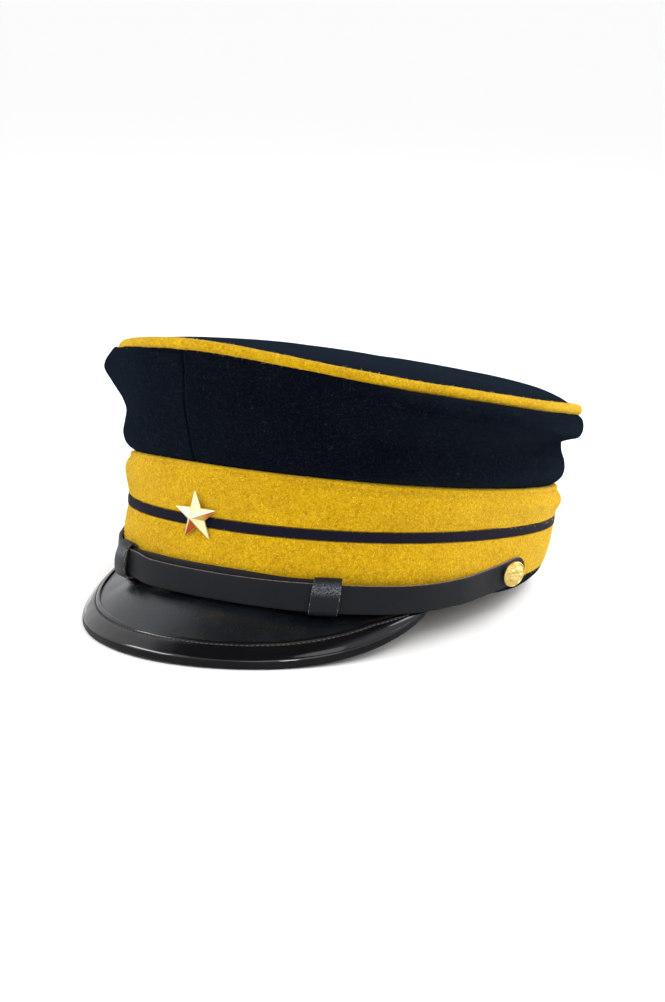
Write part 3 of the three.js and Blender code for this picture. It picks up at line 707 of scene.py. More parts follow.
# the braid's upper half, and the same points below its middle
half_width, proud = STRIPE["width"] / 2, STRIPE["outer"]
braid_top = [(proud + 0.04, 0.0), (proud, 1.0), (proud - 0.08, half_width - 0.25),
             (proud - 0.35, half_width), (STRIPE["inner"], half_width - 0.1)]
braid_bottom = [(out, -up) for out, up in braid_top[:0:-1]]
out, up = curve_through(braid_bottom + braid_top, 28).T
braid = loft("navy_braid_ring", beside_band(angle, out, STRIPE["middle"] + up))
wear(braid, "navy_braid", navy_braid, instead_of="band_stripe")

# %% [markdown]
# ## The crown
#
# The crown's wall is two pieces of cloth, seamed in front and behind. It is drawn tight over
# a stiffener in front, bulges at the quarters, and at the back stands upright and then folds
# out under the piping. At one quarter the cloth is slack and stands up as a lobe beside the
# piping. Four drawn lines say this, and every other direction is a mixture of them. Each row
# is: how far up, the share of the way from the band's oval to the piping's, and a bulge in mm.

# %% The crown wall's lines
CROWN_WALL = 1.6
CROWN_LINES = {
    "front": [(0, 0, -1.6), (0.04, 0.03, -0.1), (0.10, 0.10, 0.6), (0.20, 0.23, 1.0), (0.31, 0.38, 1.0),
              (0.42, 0.52, 1.0), (0.52, 0.65, 1.0), (0.61, 0.73, 0.8), (0.70, 0.81, 0.5), (0.79, 0.89, 0.5),
              (0.88, 0.95, 0.7), (0.95, 1, 0.9), (1.0, 1, 0.9), (1.0, 1, 0.2)],
    "quarter": [(0, 0, -1.6), (0.03, 0, 1.6), (0.09, 0, 3.9), (0.18, 0, 4.9), (0.30, 0, 3.9),
                (0.42, 0.04, 3.0), (0.53, 0.14, 4.6), (0.62, 0.35, 6.6), (0.71, 0.63, 8.3),
                (0.79, 0.92, 9.4), (0.87, 1, 8.6), (0.94, 1, 6.0), (0.99, 1, 3.0), (1.0, 1, 0.7)],
    "lobe": [(0, 0, -1.6), (0.03, 0, 1.6), (0.09, 0, 4.1), (0.18, 0, 5.3), (0.30, 0, 4.3),
             (0.42, 0.04, 3.0), (0.53, 0.14, 4.6), (0.62, 0.35, 6.6), (0.73, 0.63, 8.7),
             (0.85, 0.92, 10.5), (0.94, 1, 9.8), (1.02, 1, 7.8), (1.10, 1, 5.0), (1.01, 1, 0.8)],
    "back": [(0, 0, -2.2), (0.05, 0, 0.2), (0.12, 0, 2.2), (0.22, 0, 3.0), (0.34, 0, 2.6),
             (0.44, 0, 1.2), (0.53, 0, 0.6), (0.60, 0.02, 0.7), (0.645, 0.50, 1.4),
             (0.68, 0.90, 2.6), (0.75, 1, 3.6), (0.84, 1, 3.9), (0.93, 1, 3.0), (1.0, 1, 0.7)],
}
LOBE_SPREAD = 22.0
# how far the wall ends below the piping's middle, and how deep a dip of the seam it follows
WALL_END = {"below": 2.15, "dip": 1.2}
FRONT_SEAM = {"bottom": -92.8, "top": -91.4}
# how far the piped seam wanders from its plane: (direction, spread in degrees, millimetres)
SEAM_WANDER = [(-86.0, 15.0, 0.9), (-46.0, 19.0, -0.8), (-152.0, 25.0, -3.8), (62.0, 30.0, -2.6)]
# where the cloth stands up beside the piping: by what share of its height, and how full, in mm
COLLAR = {"direction": -118.0, "spread": 15.0, "rise": 0.045, "swell": 0.8}
MIDDLE_OF_FRONT_SEAM, BACK_SEAM = -92.1, 90.0
CROWN_SECTIONS, WALL_POINTS, INNER_POINTS = 400, 84, 24
HALF_WAY_ROUND = 330.0      # mm from the front seam to the back seam
print("each of the wall's lines has", [len(rows) for rows in CROWN_LINES.values()], "points")

# %% The wall in every direction
def wander_at(angle):
    """How far the piped seam is above or below its plane in each direction."""
    return sum(height * near(angle, direction, spread) for direction, spread, height in SEAM_WANDER)


def crown_rows(angle):
    """The wall's line in each direction, before it is smoothed: rows of (up, share, bulge)."""
    front = ease(-np.sin(angle), 0.6, 1)[..., None]
    back = ease(np.sin(angle), -0.3, 0.5)[..., None]
    slack = near(angle, SLACK_DIRECTION, LOBE_SPREAD)[..., None]
    lines = {name: np.array(rows, float) for name, rows in CROWN_LINES.items()}
    quarter = mix(lines["quarter"], lines["lobe"], slack)
    rows = mix(mix(quarter, lines["front"], front), lines["back"], back)
    near_collar = near(angle, COLLAR["direction"], COLLAR["spread"])
    rows[..., -3:-1, 0] += COLLAR["rise"] * near_collar
    rows[..., -4:-2, 2] += COLLAR["swell"] * near_collar
    return rows


def crown_outline(angle, count=WALL_POINTS):
    """The wall's outer line in each direction, as (distance from the axis, height)."""
    up, share, bulge = np.moveaxis(curve_through(crown_rows(angle), count), -1, 0)
    band_radius, piping_radius = oval_radius(BAND_OVAL, angle), oval_radius(PIPING_OVAL, angle)
    low = crown_seam(band_radius * np.sin(angle)) - sag_at(angle) + GAP / 2
    wander = wander_at(angle)
    high = piping_height(piping_radius * np.sin(angle)) - WALL_END["below"]
    height = mix(low, high + np.maximum(wander, -WALL_END["dip"]), up)
    # where the seam dips deepest the slack cloth stays up, and only its sewn edge follows
    sewn = ease(np.linspace(0, 1, count), 0.90, 1.0)[None, :]
    height = height + sewn * np.minimum(wander + WALL_END["dip"], 0)
    return np.stack([mix(band_radius, piping_radius, share) + bulge, height], -1)


print("the piped seam wanders by", np.round(wander_at(directions(-180, 90, 4)).ravel(), 2), "mm")

# %% One half of the wall
def walled(angle, line, thickness, inner_count):
    """Closes a line of (out, up) points into a wall's section, by going back along its inside."""
    slope = np.gradient(line, axis=1)
    slope /= np.linalg.norm(slope, axis=-1, keepdims=True)
    inner = line + thickness * np.stack([-slope[..., 1], slope[..., 0]], -1)
    picks = np.linspace(line.shape[1] - 1, 0, inner_count).round().astype(int)
    out, up = np.moveaxis(np.concatenate([line, inner[:, picks]], axis=1), -1, 0)
    return turned(np.concatenate([angle, angle[:, picks]], axis=1), out, up)


def crown_half(name, turn_to_back, seed):
    """One half of the wall, from the front seam round to the back seam."""
    share = np.linspace(0, 1, CROWN_SECTIONS)[:, None]
    share = mix(share, ease(share, 0, 1), 0.7)
    seam_side = math.copysign(0.05, turn_to_back)
    back = BACK_SEAM if turn_to_back > 0 else BACK_SEAM - 360
    line = crown_outline(np.radians(mix(MIDDLE_OF_FRONT_SEAM, back, share)))
    up = np.linspace(0, 1, line.shape[1])[None, :]
    front = mix(FRONT_SEAM["bottom"], FRONT_SEAM["top"], up)
    angle = np.radians(mix(front + seam_side, back - seam_side, share))
    cloth = turned(angle, line[..., 0], line[..., 1])

    # gentle waves and a few draglines, which fade where the cloth is sewn down
    free = np.sin(np.pi * up) ** 0.6
    waves = 0.9 * unevenness(cloth * (1, 1, 0.6), 34.0, seed) + 0.35 * unevenness(cloth, 12.0, seed + 2)
    nap = 0.07 * unevenness(cloth, 1.6, seed + 4)
    # beside a seam the cloth is pressed in, and puckers run away from it
    run = np.minimum(share, 1 - share) * HALF_WAY_ROUND
    pressed = -0.75 * np.exp(-(run / 0.55) ** 2)
    puckers = 0.22 * unevenness(cloth * (0.3, 0.3, 1), 2.6, seed + 6) * np.exp(-run / 4.0)
    gathers = 0.28 * unevenness(cloth * (1, 1, 0.2), 5.0, seed + 8) * np.exp(-(1 - up) / 0.07)
    line[..., 0] += free * waves + nap + pressed + puckers + gathers
    return loft(name, walled(angle, line, CROWN_WALL, INNER_POINTS), ring=False)


print("a half has", CROWN_SECTIONS, "sections")

# %% The two halves
for side, turn, seed in (("left", 1, 1.0), ("right", -1, 21.0)):
    half = crown_half(f"crown_wall_{side}", turn, seed)
    wear(half, "navy_wool", navy_wool, instead_of=f"crown_side_{side}")

# %% [markdown]
# ## The piping and the crown's top
#
# The piping is a cord wrapped in the band's felt and caught in the seam, which wanders a
# little because it was sewn by hand. The top is one oval of cloth, pulled down at its edge
# and held up in the middle by the stiffener, so its edge is full and shows small gathers.

# %% The piping
PIPING_RADIUS = 2.4
angle = directions(-90, 270, 600, ring=True)
around = np.linspace(0, 2 * np.pi, 20, endpoint=False)[None, :]
radius = oval_radius(PIPING_OVAL, angle)
height = piping_height(radius * np.sin(angle))
centre = turned(angle, radius, height)
thick = PIPING_RADIUS * (1 + 0.05 * unevenness(centre, 9.0, 31.0))
wander = 0.22 * unevenness(centre, 26.0, 33.0) + wander_at(angle)
out, up = radius + thick * np.cos(around), height + wander + thick * np.sin(around)
hair = 0.09 * unevenness(turned(angle, out, up), 1.3, 35.0)
piping_grid = turned(angle, out + hair * np.cos(around), up + hair * np.sin(around))
piping = loft("piped_edge", piping_grid)
wear(piping, "yellow_felt", yellow_felt, instead_of="crown_piping")

# %% The crown's top
DOME = {"rise": 13.6, "sunk": 0.6, "inset": 2.0, "fullness": 1.75, "edge": 0.58, "wall": 1.6}
angle = directions(-90, 270, 360, ring=True)
share = 1 - np.linspace(0, 1, 60)[None, :] ** 1.7
edge = oval_radius(PIPING_OVAL, angle) - DOME["inset"]
x, y = share * edge * np.cos(angle), share * edge * np.sin(angle)
rise = DOME["rise"] * (1 - share ** DOME["fullness"]) ** DOME["edge"]
from_edge = (1 - share) * edge
seam = piping_height(y) + wander_at(angle) * np.exp(-from_edge / 9.0)
dome = np.stack([x, y, seam - DOME["sunk"] + rise], -1)
gathers = 0.5 * unevenness(dome * (1, 1, 0), 6.5, 41.0) * np.exp(-from_edge / 7.0)
waves = 0.9 * unevenness(dome * (1, 1, 0), 42.0, 43.0) + 0.06 * unevenness(dome, 1.6, 45.0)
# the cloth stands a little higher over the slack quarter, and behind
higher = 2.4 * (1 - share ** 2) * ease(-x, -45, 60) + 1.3 * (1 - share ** 14) * ease(y, 10, 100)
dome[..., 2] += (gathers + waves) * ease(from_edge, 0, 3.0) + higher
below = dome[:, ::-1][:, ::3] - (0, 0, DOME["wall"])
top = loft("crown_oval", np.concatenate([dome, below], axis=1))
wear(top, "navy_wool", navy_wool, instead_of="crown_top")

# %% [markdown]
# ## Loose hairs
#
# Felt sheds short hairs that stand off its surface. They hardly show from the front, but
# along the cap's outline they blur the edge, and felt without them looks like paint. Each
# hair is a closed, three-sided spike, rooted in the felt. They are spread evenly by area.

# %% The loose hairs
HAIR = {"radius": 0.045, "tip": 0.35, "length": (0.5, 1.5), "root": 0.25, "lean": 1.6}


def join_tubes(name, centre_lines, radii, sides=8):
    """Many closed tubes as one piece: centre_lines is (tubes, points, 3) in the cap's mm."""
    tubes, count, _ = centre_lines.shape
    ahead = np.gradient(centre_lines, axis=1)
    ahead /= np.linalg.norm(ahead, axis=2, keepdims=True)
    beside = np.cross(ahead, (0, 0, 1.0))
    beside /= np.linalg.norm(beside, axis=2, keepdims=True)
    above = np.cross(beside, ahead)
    turn = np.linspace(0, 2 * np.pi, sides, endpoint=False)
    ring = (np.cos(turn)[:, None] * beside[:, :, None] + np.sin(turn)[:, None] * above[:, :, None])
    points = centre_lines[:, :, None] + ring * np.broadcast_to(radii, (tubes, count))[:, :, None, None]
    faces = []
    for tube in range(tubes):
        first = tube * count * sides
        for i in range(count - 1):
            for j in range(sides):
                a, b = first + i * sides + j, first + i * sides + (j + 1) % sides
                faces.append((a, b, b + sides, a + sides))
        faces.append(tuple(range(first, first + sides)))
        faces.append(tuple(range(first + (count - 1) * sides, first + count * sides)))
    return finish_mesh(name, new_mesh(name, points, faces))


print("a hair is up to", HAIR["length"][1], "mm long")

# %% The two lots of hairs
def add_hairs(name, surface, count, seed):
    """Hairs on a grid of points that goes round the cap."""
    chance = np.random.default_rng(seed)
    along = np.roll(surface, -1, axis=0)[:, :-1] - surface[:, :-1]
    across = surface[:, 1:] - surface[:, :-1]
    outward = np.cross(along, across)
    area = np.linalg.norm(outward, axis=2)
    spots = chance.choice(area.size, count, p=(area / area.sum()).ravel())
    row, column = np.unravel_index(spots, area.shape)
    root = (surface[row, column] + along[row, column] * chance.random((count, 1))
            + across[row, column] * chance.random((count, 1)))
    normal = outward[row, column] / area[row, column][:, None]
    normal *= np.sign((normal * root * (1, 1, 0)).sum(axis=1, keepdims=True))
    lean = np.cross(normal, chance.normal(size=(count, 3)))
    growth = normal + HAIR["lean"] * lean / np.linalg.norm(lean, axis=1, keepdims=True)
    growth *= chance.uniform(*HAIR["length"], (count, 1)) / np.linalg.norm(growth, axis=1, keepdims=True)
    ends = np.stack([root - HAIR["root"] * normal, root + growth], axis=1)
    piece = join_tubes(name, ends, HAIR["radius"] * np.array([1.0, HAIR["tip"]]), sides=3)
    wear(piece, "yellow_felt", felt_hair)


add_hairs("band_hairs", felt_face, count=16000, seed=91)
add_hairs("piping_hairs", piping_grid, count=5000, seed=93)

# %% [markdown]
# ## The peak
#
# The peak is a half oval of stiff leather that folds out from under the band and slopes
# down. Its outer edge is lowest in front and rises ever faster to the horns at the sides.
# A point on the peak is named by how far it lies in from the edge and how far it stands
# above the middle layer, so that the bound edge and its stitches can follow the leather.

# %% The peak's sections
PEAK_EDGE = {"half_width": 82.3, "back": -50.9, "reach": 85.7, "power": 1.9, "low": -28.9}
PEAK_LIFT = (3.8, 18.9)
PEAK = {"thick": 2.0, "horn_thick": 1.0, "bulge": 1.8, "full_at": 14.0, "end": 92.0}
PEAK_FOLD = {"front": 5.0, "side": 7.4, "horn": 1.0, "out": 0.1}
BINDING = {"width": 10.0, "greatest_share": 0.7, "leather": 0.9}


class PeakSections:
    """The sections of the peak at a column of sweep angles: 0 in front, 90 at the widest."""

    def __init__(self, sweep):
        power = 2 / PEAK_EDGE["power"]
        fall = 1 - np.cos(sweep)
        x = PEAK_EDGE["half_width"] * np.sign(np.sin(sweep)) * np.abs(np.sin(sweep)) ** power
        y = PEAK_EDGE["back"] - PEAK_EDGE["reach"] * np.sign(np.cos(sweep)) * np.abs(np.cos(sweep)) ** power
        low = PEAK_EDGE["low"] + PEAK_LIFT[0] * fall + PEAK_LIFT[1] * fall * fall
        self.angle = np.arctan2(y, x)
        reach = np.hypot(x, y) - oval_radius(BAND_OVAL, self.angle)
        self.full = np.clip(reach / PEAK["full_at"], 0, 1)
        self.thick = mix(PEAK["horn_thick"], PEAK["thick"], self.full)
        nose = self.thick / 2 + GAP + BINDING["leather"]
        self.size = nose / 2.2
        self.corner = np.stack([reach, low], -1)
        middle = np.stack([reach - 0.85 * nose, low + 0.7 * nose], -1)
        side = mix(PEAK_FOLD["side"], PEAK_FOLD["front"], ease(-np.sin(self.angle), 0.88, 0.98))
        depth = mix(PEAK_FOLD["horn"], side, self.full)
        self.fold = np.stack([np.full_like(depth, PEAK_FOLD["out"]), -depth], -1)
        along = middle - self.fold
        self.length = np.linalg.norm(along, axis=-1)
        self.along = along / self.length[..., None]
        self.up = np.stack([-self.along[..., 1], self.along[..., 0]], -1)
        self.end = middle + self.up * (self.thick / 2)[..., None]
        self.binding = np.minimum(BINDING["width"] / self.length, BINDING["greatest_share"]) * self.length

    def on_leather(self, past_edge, above):
        """Points by distance past the edge (negative is inside it) and above the middle layer."""
        share = 1 + past_edge / self.length
        bulge = PEAK["bulge"] * self.full * 4 * share * (1 - share)
        slope = PEAK["bulge"] * self.full * 4 * (1 - 2 * share) / self.length
        bulge = np.where(share > 1, slope * past_edge, bulge)
        line = self.fold + (self.end - self.fold) * share[..., None] + self.up * bulge[..., None]
        normal = self.up - self.along * slope[..., None]
        normal /= np.linalg.norm(normal, axis=-1, keepdims=True)
        return line + normal * (above - self.thick / 2)[..., None]

    def at(self, points):
        """Section points as points on the cap."""
        return beside_band(self.angle, points[..., 0], points[..., 1])


sweep = directions(-PEAK["end"], PEAK["end"], 300)
peak = PeakSections(sweep)
print("peak sticks out", round(float(peak.corner[150, 0, 0]), 1), "mm in front")

# %% [markdown]
# ## The peak's panel
#
# The panel is smooth leather on both faces. Its top shows a fine satin shine, so it has to
# be truly smooth: only very wide, very shallow waves are added, as leather has after years.
# The neck that is sewn up inside the band is unpolished.

# %% The peak's panel
steps = np.linspace(0, 1, 40)[None, :]
in_from_edge = -peak.length * (1 - ease(steps, 0, 1) * 0.5 - steps * 0.5)
upper = peak.on_leather(in_from_edge, peak.thick / 2 + 0 * steps)
wave = 0.22 * unevenness(peak.at(upper), 30.0, 51.0) * peak.full
upper[..., 1] += wave
neck_rise = np.linspace(1, 0.12, 5)[None, :, None] * (-peak.fold[..., 1:] - 0.4)
neck = peak.fold + np.array([0.0, 1.0]) * neck_rise
rounded = peak.fold + (upper[:, 1:2] - peak.fold) * 0.3 + (0.0, 0.05)
top_line = np.concatenate([neck, rounded, upper[:, 1:]], axis=1)
under = peak.on_leather(in_from_edge[:, ::-1], -peak.thick / 2 + 0 * steps)
under[..., 1] += wave[:, ::-1]
neck_under = neck[:, ::-1] - np.stack([peak.thick, 0 * peak.thick], -1)
under = np.concatenate([under[:, :-1], neck_under[:, 1:]], axis=1)
# slot 0 is the top, 1 the lining and 2 the neck
neck_faces = neck.shape[1] + 1
slots = [2] * neck_faces + [0] * (top_line.shape[1] - neck_faces - 1) + [1] * (under.shape[1] + 1)
panel = loft("peak_leather", peak.at(np.concatenate([top_line, under], axis=1)),
             ring=False, face_slots=slots)
wear(panel, "visor_leather", peak_leather, peak_lining, seam_leather, instead_of="visor_panel")

# %% [markdown]
# ## The bound edge
#
# A strip of patent leather is folded round the panel's edge and stitched through. Its inner
# border is turned under, which makes a low welt. Next to the welt the thread pulls the strip
# down into a channel. Then it lies flat, and rises a little over a cord at the outer edge,
# whose rounding makes the bright line. From there it drops almost straight to the lower
# corner, and that outermost face is rubbed dull.

# %% The bound edge
# on the leather: (share of the strip's width in from the edge, height above the middle layer)
STRIP_TOP = [
    (1.0, 1.02), (1.004, 1.35), (0.99, 1.66), (0.945, 1.84), (0.89, 1.90), (0.84, 1.88), (0.80, 1.78),
    (0.765, 1.70), (0.73, 1.78), (0.68, 1.92), (0.60, 2.02), (0.48, 2.12), (0.36, 2.18), (0.24, 2.22)]
STRIP_POINTS = 120
DULL_CORNERS = (5.5, 8.0)       # the channel, where the lacquer has cracked and dulled
# from the lower corner: (distance out, height), the bead and the nearly upright face
BEAD = {"centre": (-2.5, 2.0), "radius": 2.5, "from": 45.0, "to": 3.0}
DROP = [(-0.03, 1.4), (0.0, 0.8), (-0.12, 0.25), (-0.5, -0.08), (-1.1, -0.12)]
STRIP_UNDER = [(0.3, -2.12), (0.5, -2.15), (0.75, -2.12), (0.95, -2.0), (0.995, -1.7), (1.0, -1.02)]
STRIP_INNER = [(0.5, -1.04), (0.0, -1.04), (0.0, 1.04), (0.5, 1.04)]


def on_strip(rows):
    """Points of the strip's table, laid on the leather."""
    share, above = columns_of(rows)
    return peak.on_leather(-share * peak.binding, above * peak.size * np.ones_like(peak.thick))


turns = np.radians(np.linspace(BEAD["from"], BEAD["to"], 15))
bead = np.array(BEAD["centre"]) + BEAD["radius"] * np.stack([np.cos(turns), np.sin(turns)], -1)
nose = np.concatenate([bead, DROP])[None] * peak.size[..., None]
outer = np.concatenate([on_strip(STRIP_TOP), peak.corner + nose, on_strip(STRIP_UNDER)], axis=1)
corner_count = outer.shape[1]
outer = curve_through(outer, STRIP_POINTS)
ripple = 0.10 * unevenness(peak.at(outer), 7.0, 61.0) * ease(peak.full, 0.1, 1)
outer[..., 1] += ripple
# the bead's lower half and the upright face under it have lost their lacquer
per_corner = (STRIP_POINTS - 1) / (corner_count - 1)
worn_from = (len(STRIP_TOP) + 0.55 * len(bead)) * per_corner
worn_to = (len(STRIP_TOP) + len(bead) + len(DROP) - 1) * per_corner
dull_from, dull_to = (corner * per_corner for corner in DULL_CORNERS)
strip_slots = [int(dull_from <= column <= dull_to or worn_from <= column <= worn_to)
               for column in range(STRIP_POINTS + len(STRIP_INNER))]
binding = loft("bound_edge", peak.at(np.concatenate([outer, on_strip(STRIP_INNER)], axis=1)),
               ring=False, face_slots=strip_slots)
wear(binding, "patent_leather", patent_leather, worn_patent, instead_of="visor_rim")

# %% [markdown]
# ## The stitches
#
# One row of lock stitches holds the strip. Each stitch is a short waxed thread that comes up
# out of one hole and goes down into the next, so it is thickest in the middle and sinks at
# both ends. All the stitches are one piece.

# %% The stitches
STITCH = {"share_in": 0.765, "above": 1.74, "pitch": 2.15, "length": 1.5, "radius": 0.155,
          "rise": 0.16, "sink": 0.28, "uneven": 0.09}

fine = PeakSections(directions(-84, 84, 3000))
on_strip_face = fine.on_leather(-STITCH["share_in"] * fine.binding, STITCH["above"] * fine.size)
seam = fine.at(on_strip_face)[:, 0]
walked = np.concatenate([[0], np.cumsum(np.linalg.norm(np.diff(seam, axis=0), axis=1))])
starts = np.arange(1.0, walked[-1] - STITCH["length"], STITCH["pitch"])
steps = np.linspace(0, 1, 7)
places = starts[:, None] + steps * STITCH["length"]
lines = np.stack([np.interp(places, walked, seam[:, axis]) for axis in range(3)], -1)
lines[..., 2] += STITCH["rise"] - STITCH["sink"] * (2 * steps - 1) ** 4
# some stitches are pulled tighter than others, and lie deeper
tightness = unevenness(lines[:, 3], 2.8, 67.0)[:, None]
lines[..., 2] -= STITCH["uneven"] * (1 + tightness)
stitches = join_tubes("peak_stitches", lines, STITCH["radius"] * (1 - 0.45 * (2 * steps - 1) ** 6))
wear(stitches, "patent_leather", thread)

# %% [markdown]
# ## The chin strap
#
# The strap is two straps, one from each button. In front they lie one over the other inside
# two keepers, so that the whole can be let out. Each is a flat ribbon of leather with a
# rounded end at its button. From there it steps outwards over the peak's horn and comes down
# until it lies nearly level.

# %% Where the straps run
STRAP = {"half_width": 5.6, "button_height": 8.1, "past_button": 6.0, "end_rise": 1.1}
# degrees from the button, and how far the inner face stands off the band
CLEARANCE = {
    "left": [(8, 0.25), (22, 2.2), (34, 3.4), (44, 3.4)],
    "right": [(8, 0.25), (22, 2.2), (34, 3.2), (44, 1.85)],
}
# direction in degrees, and the height of the strap's middle there
LEVELS = {
    "left": [(-119, 2.4), (-110, 2.4), (-102, 1.0), (-68, 1.0), (-61, 1.1), (-53, 1.1)],
    "right": [(-119, 3.2), (-110, 3.3), (-102, 3.6), (-80, 3.6), (-64, 2.6), (-53, 2.5)],
}
RISE = {"left": (43, 1.7), "right": (63, 1.2)}
# where the keepers are, and how many degrees from its button each strap ends inside the far one
KEEPERS = {"left": (-57.3, 1.35), "right": (-114.5, 2.9)}
IN_KEEPER = 2.0
STRAP_RUN = {"left": IN_KEEPER - KEEPERS["right"][0], "right": IN_KEEPER + 180 + KEEPERS["left"][0]}


def read_rows(rows, value):
    """Reads a table of (place, value) with smooth steps between its rows."""
    places, values = np.array(rows, float).T
    result = np.full_like(value, values[0])
    for i in range(len(rows) - 1):
        result = result + (values[i + 1] - values[i]) * ease(value, places[i], places[i + 1])
    return result


def strap_direction(side, from_button):
    """Direction in degrees of a place on a strap, counted in degrees from its button."""
    return -from_button if side == "left" else from_button - 180


def strap_course(side, from_button):
    """The height of the strap's middle and its stand-off, at places counted from its button."""
    level = read_rows(LEVELS[side], strap_direction(side, from_button))
    angle, power = RISE[side]
    rise = np.clip(1 - from_button / angle, 0, STRAP["end_rise"]) ** power
    return mix(level, STRAP["button_height"], rise), read_rows(CLEARANCE[side], from_button)


print("strap runs, in degrees:", STRAP_RUN)

# %% [markdown]
# ## The two ribbons
#
# The section goes round the ribbon: outer face, top edge, inner face, bottom edge. The dye
# has rubbed off the outer strap's top edge, so that edge gets the raw leather's finish.

# %% The two ribbons
MM_PER_DEGREE = math.radians(BAND_OVAL["half_width"])
# (share of the half width, thickness), from the lower corner of the outer face round
RIBBON = [(-0.955, 1.5), (-0.8, 1.54), (-0.4, 1.56), (0.0, 1.56), (0.4, 1.56), (0.8, 1.54), (0.93, 1.5),
          (0.98, 1.34), (1.0, 1.0), (1.0, 0.45), (0.99, 0.12), (0.955, 0.0),
          (0.4, 0.0), (-0.4, 0.0), (-0.955, 0.0), (-0.99, 0.12), (-1.0, 0.45), (-1.0, 1.05), (-0.99, 1.38)]
RIBBON_SLOTS = {"left": [0] * 7 + [1] * 4 + [0] * 8, "right": [0] * 19}
WIDER = {"direction": -52.0, "spread": 22.0, "by": 0.5}     # in front, where it is stretched

start = -STRAP["past_button"]
round_end = -STRAP["half_width"] * np.sin(np.radians([86, 80, 72, 63, 54, 45, 36, 27, 18, 9]))
for side in ("left", "right"):
    straight = np.arange(start, STRAP_RUN[side], 0.5)
    from_button = np.concatenate([start + round_end / MM_PER_DEGREE, straight])[:, None]
    past = np.minimum(from_button - start, 0) * MM_PER_DEGREE
    middle, clear = strap_course(side, np.maximum(from_button, start))
    angle = np.radians(strap_direction(side, from_button))
    wider = WIDER["by"] * near(angle, WIDER["direction"], WIDER["spread"]) * (side == "left")
    half_width = np.sqrt(STRAP["half_width"] ** 2 - past ** 2) + wider
    middle = middle - wider
    share, depth = columns_of(RIBBON)
    ribbon = beside_band(angle, clear + depth, middle + half_width * share)
    wobble = 0.10 * unevenness(beside_band(angle, 0, middle), 22.0, 71.0)
    rough = 0.05 * unevenness(ribbon, 1.1, 73.0) * (np.abs(share) > 0.97)
    ribbon = beside_band(angle, clear + depth + wobble * ease(from_button, 6, 20),
                         middle + half_width * share + rough)
    strap = loft(f"chin_ribbon_{side}", ribbon, ring=False, face_slots=RIBBON_SLOTS[side])
    wear(strap, "strap_leather", strap_leather, strap_edge, instead_of=f"chin_strap_{side}")

# %% [markdown]
# ## The keepers
#
# A keeper is a short strip of thin leather bent into a loop round both ribbons. The strip's
# section is carried round the loop, so that its two cut edges, which are pale and a little
# ragged, lie where they do on the real one.

# %% The keepers
KEEPER = {"half_width": 6.0, "wall": 1.0, "near": 1.6, "far": 5.3, "half_height": 6.9, "round": 1.6}
# its outer face: how far it is bowed, how far the top leans in, and how far it sits askew, in mm
KEEPER_BOW = {"bow": 1.2, "lean": 0.8, "askew": 0.6}
# across the strip: (share of the half width, share of the wall)
KEEPER_STRIP = [(-1.0, 0.1), (-1.0, 0.85), (-0.965, 1.0), (-0.8, 1.05), (-0.4, 1.1), (0.4, 1.1),
                (0.8, 1.05), (0.965, 1.0), (1.0, 0.85), (1.0, 0.1), (0.96, 0.0), (-0.96, 0.0)]
KEEPER_SLOTS = [1, 1, 0, 0, 0, 0, 0, 1, 1, 1, 0, 1]


def rounded_loop(inside, outside, half_height, corner, count=14, parts=8):
    """A rounded rectangle as points and outward directions, in (offset, height). Its long
    runs are divided into parts, so that its faces can be uneven."""
    left, right, up = inside + corner, outside - corner, half_height - corner
    centres = np.repeat([(left, up), (left, -up), (right, -up), (right, up)], count, axis=0)
    turns = np.radians([start + np.linspace(0, 90, count) for start in (90, 180, 270, 0)]).ravel()
    outward = np.stack([np.cos(turns), np.sin(turns)], -1)
    points = centres + corner * outward
    following = np.roll(points, -1, axis=0)
    long_runs = np.linalg.norm(following - points, axis=1) > 1.5
    steps = np.where(long_runs, parts, 1)
    picks = np.repeat(np.arange(len(points)), steps)
    share = np.concatenate([np.arange(count) / count for count in steps])[:, None]
    return mix(points[picks], following[picks], share), outward[picks]


print("a keeper is", 2 * KEEPER["half_width"], "mm wide")

# %% The two keepers
path, path_out = rounded_loop(KEEPER["near"], KEEPER["far"], KEEPER["half_height"], KEEPER["round"])
upward = path[:, 1] / KEEPER["half_height"]
on_face = ease(path[:, 0], KEEPER["near"] + 0.5, KEEPER["far"] - 0.5)
path[:, 0] += on_face * (KEEPER_BOW["bow"] * (1 - upward ** 2) - KEEPER_BOW["lean"] * upward)
across, depth = columns_of(KEEPER_STRIP)
for side, (direction, middle) in KEEPERS.items():
    section = path[:, None] + path_out[:, None] * depth[..., None] * KEEPER["wall"]
    radius = oval_radius(BAND_OVAL, math.radians(direction), 6.0)
    askew = KEEPER_BOW["askew"] * (1 if side == "left" else -1)
    angle = math.radians(direction) + (across * KEEPER["half_width"] + askew * upward[:, None]) / radius
    loop_points = beside_band(angle, section[..., 0], middle + section[..., 1])
    ragged = 0.10 * unevenness(loop_points, 1.2, 81.0) * (np.abs(across) > 0.95)
    crown_out = 0.14 * unevenness(loop_points, 5.0, 83.0)
    section = section + path_out[:, None] * (crown_out * (depth > 0.8))[..., None]
    keeper_points = beside_band(angle + ragged / radius, section[..., 0], middle + section[..., 1])
    keeper = loft(f"keeper_loop_{side}", keeper_points, face_slots=KEEPER_SLOTS)
    wear(keeper, "keeper_leather", keeper_leather, keeper_edge, instead_of=f"strap_keeper_{side}")

# %% [markdown]
# ## The buttons
#
# A uniform button is pressed from thin brass: a raised rim, and a low dome with a flower in
# relief. The flower is a plain one of eight petals, written as a formula of the direction
# and the distance from the middle.

# %% The buttons
BUTTON = {"radius": 5.8, "dome": 1.2, "rim": 0.8, "petals": 8}
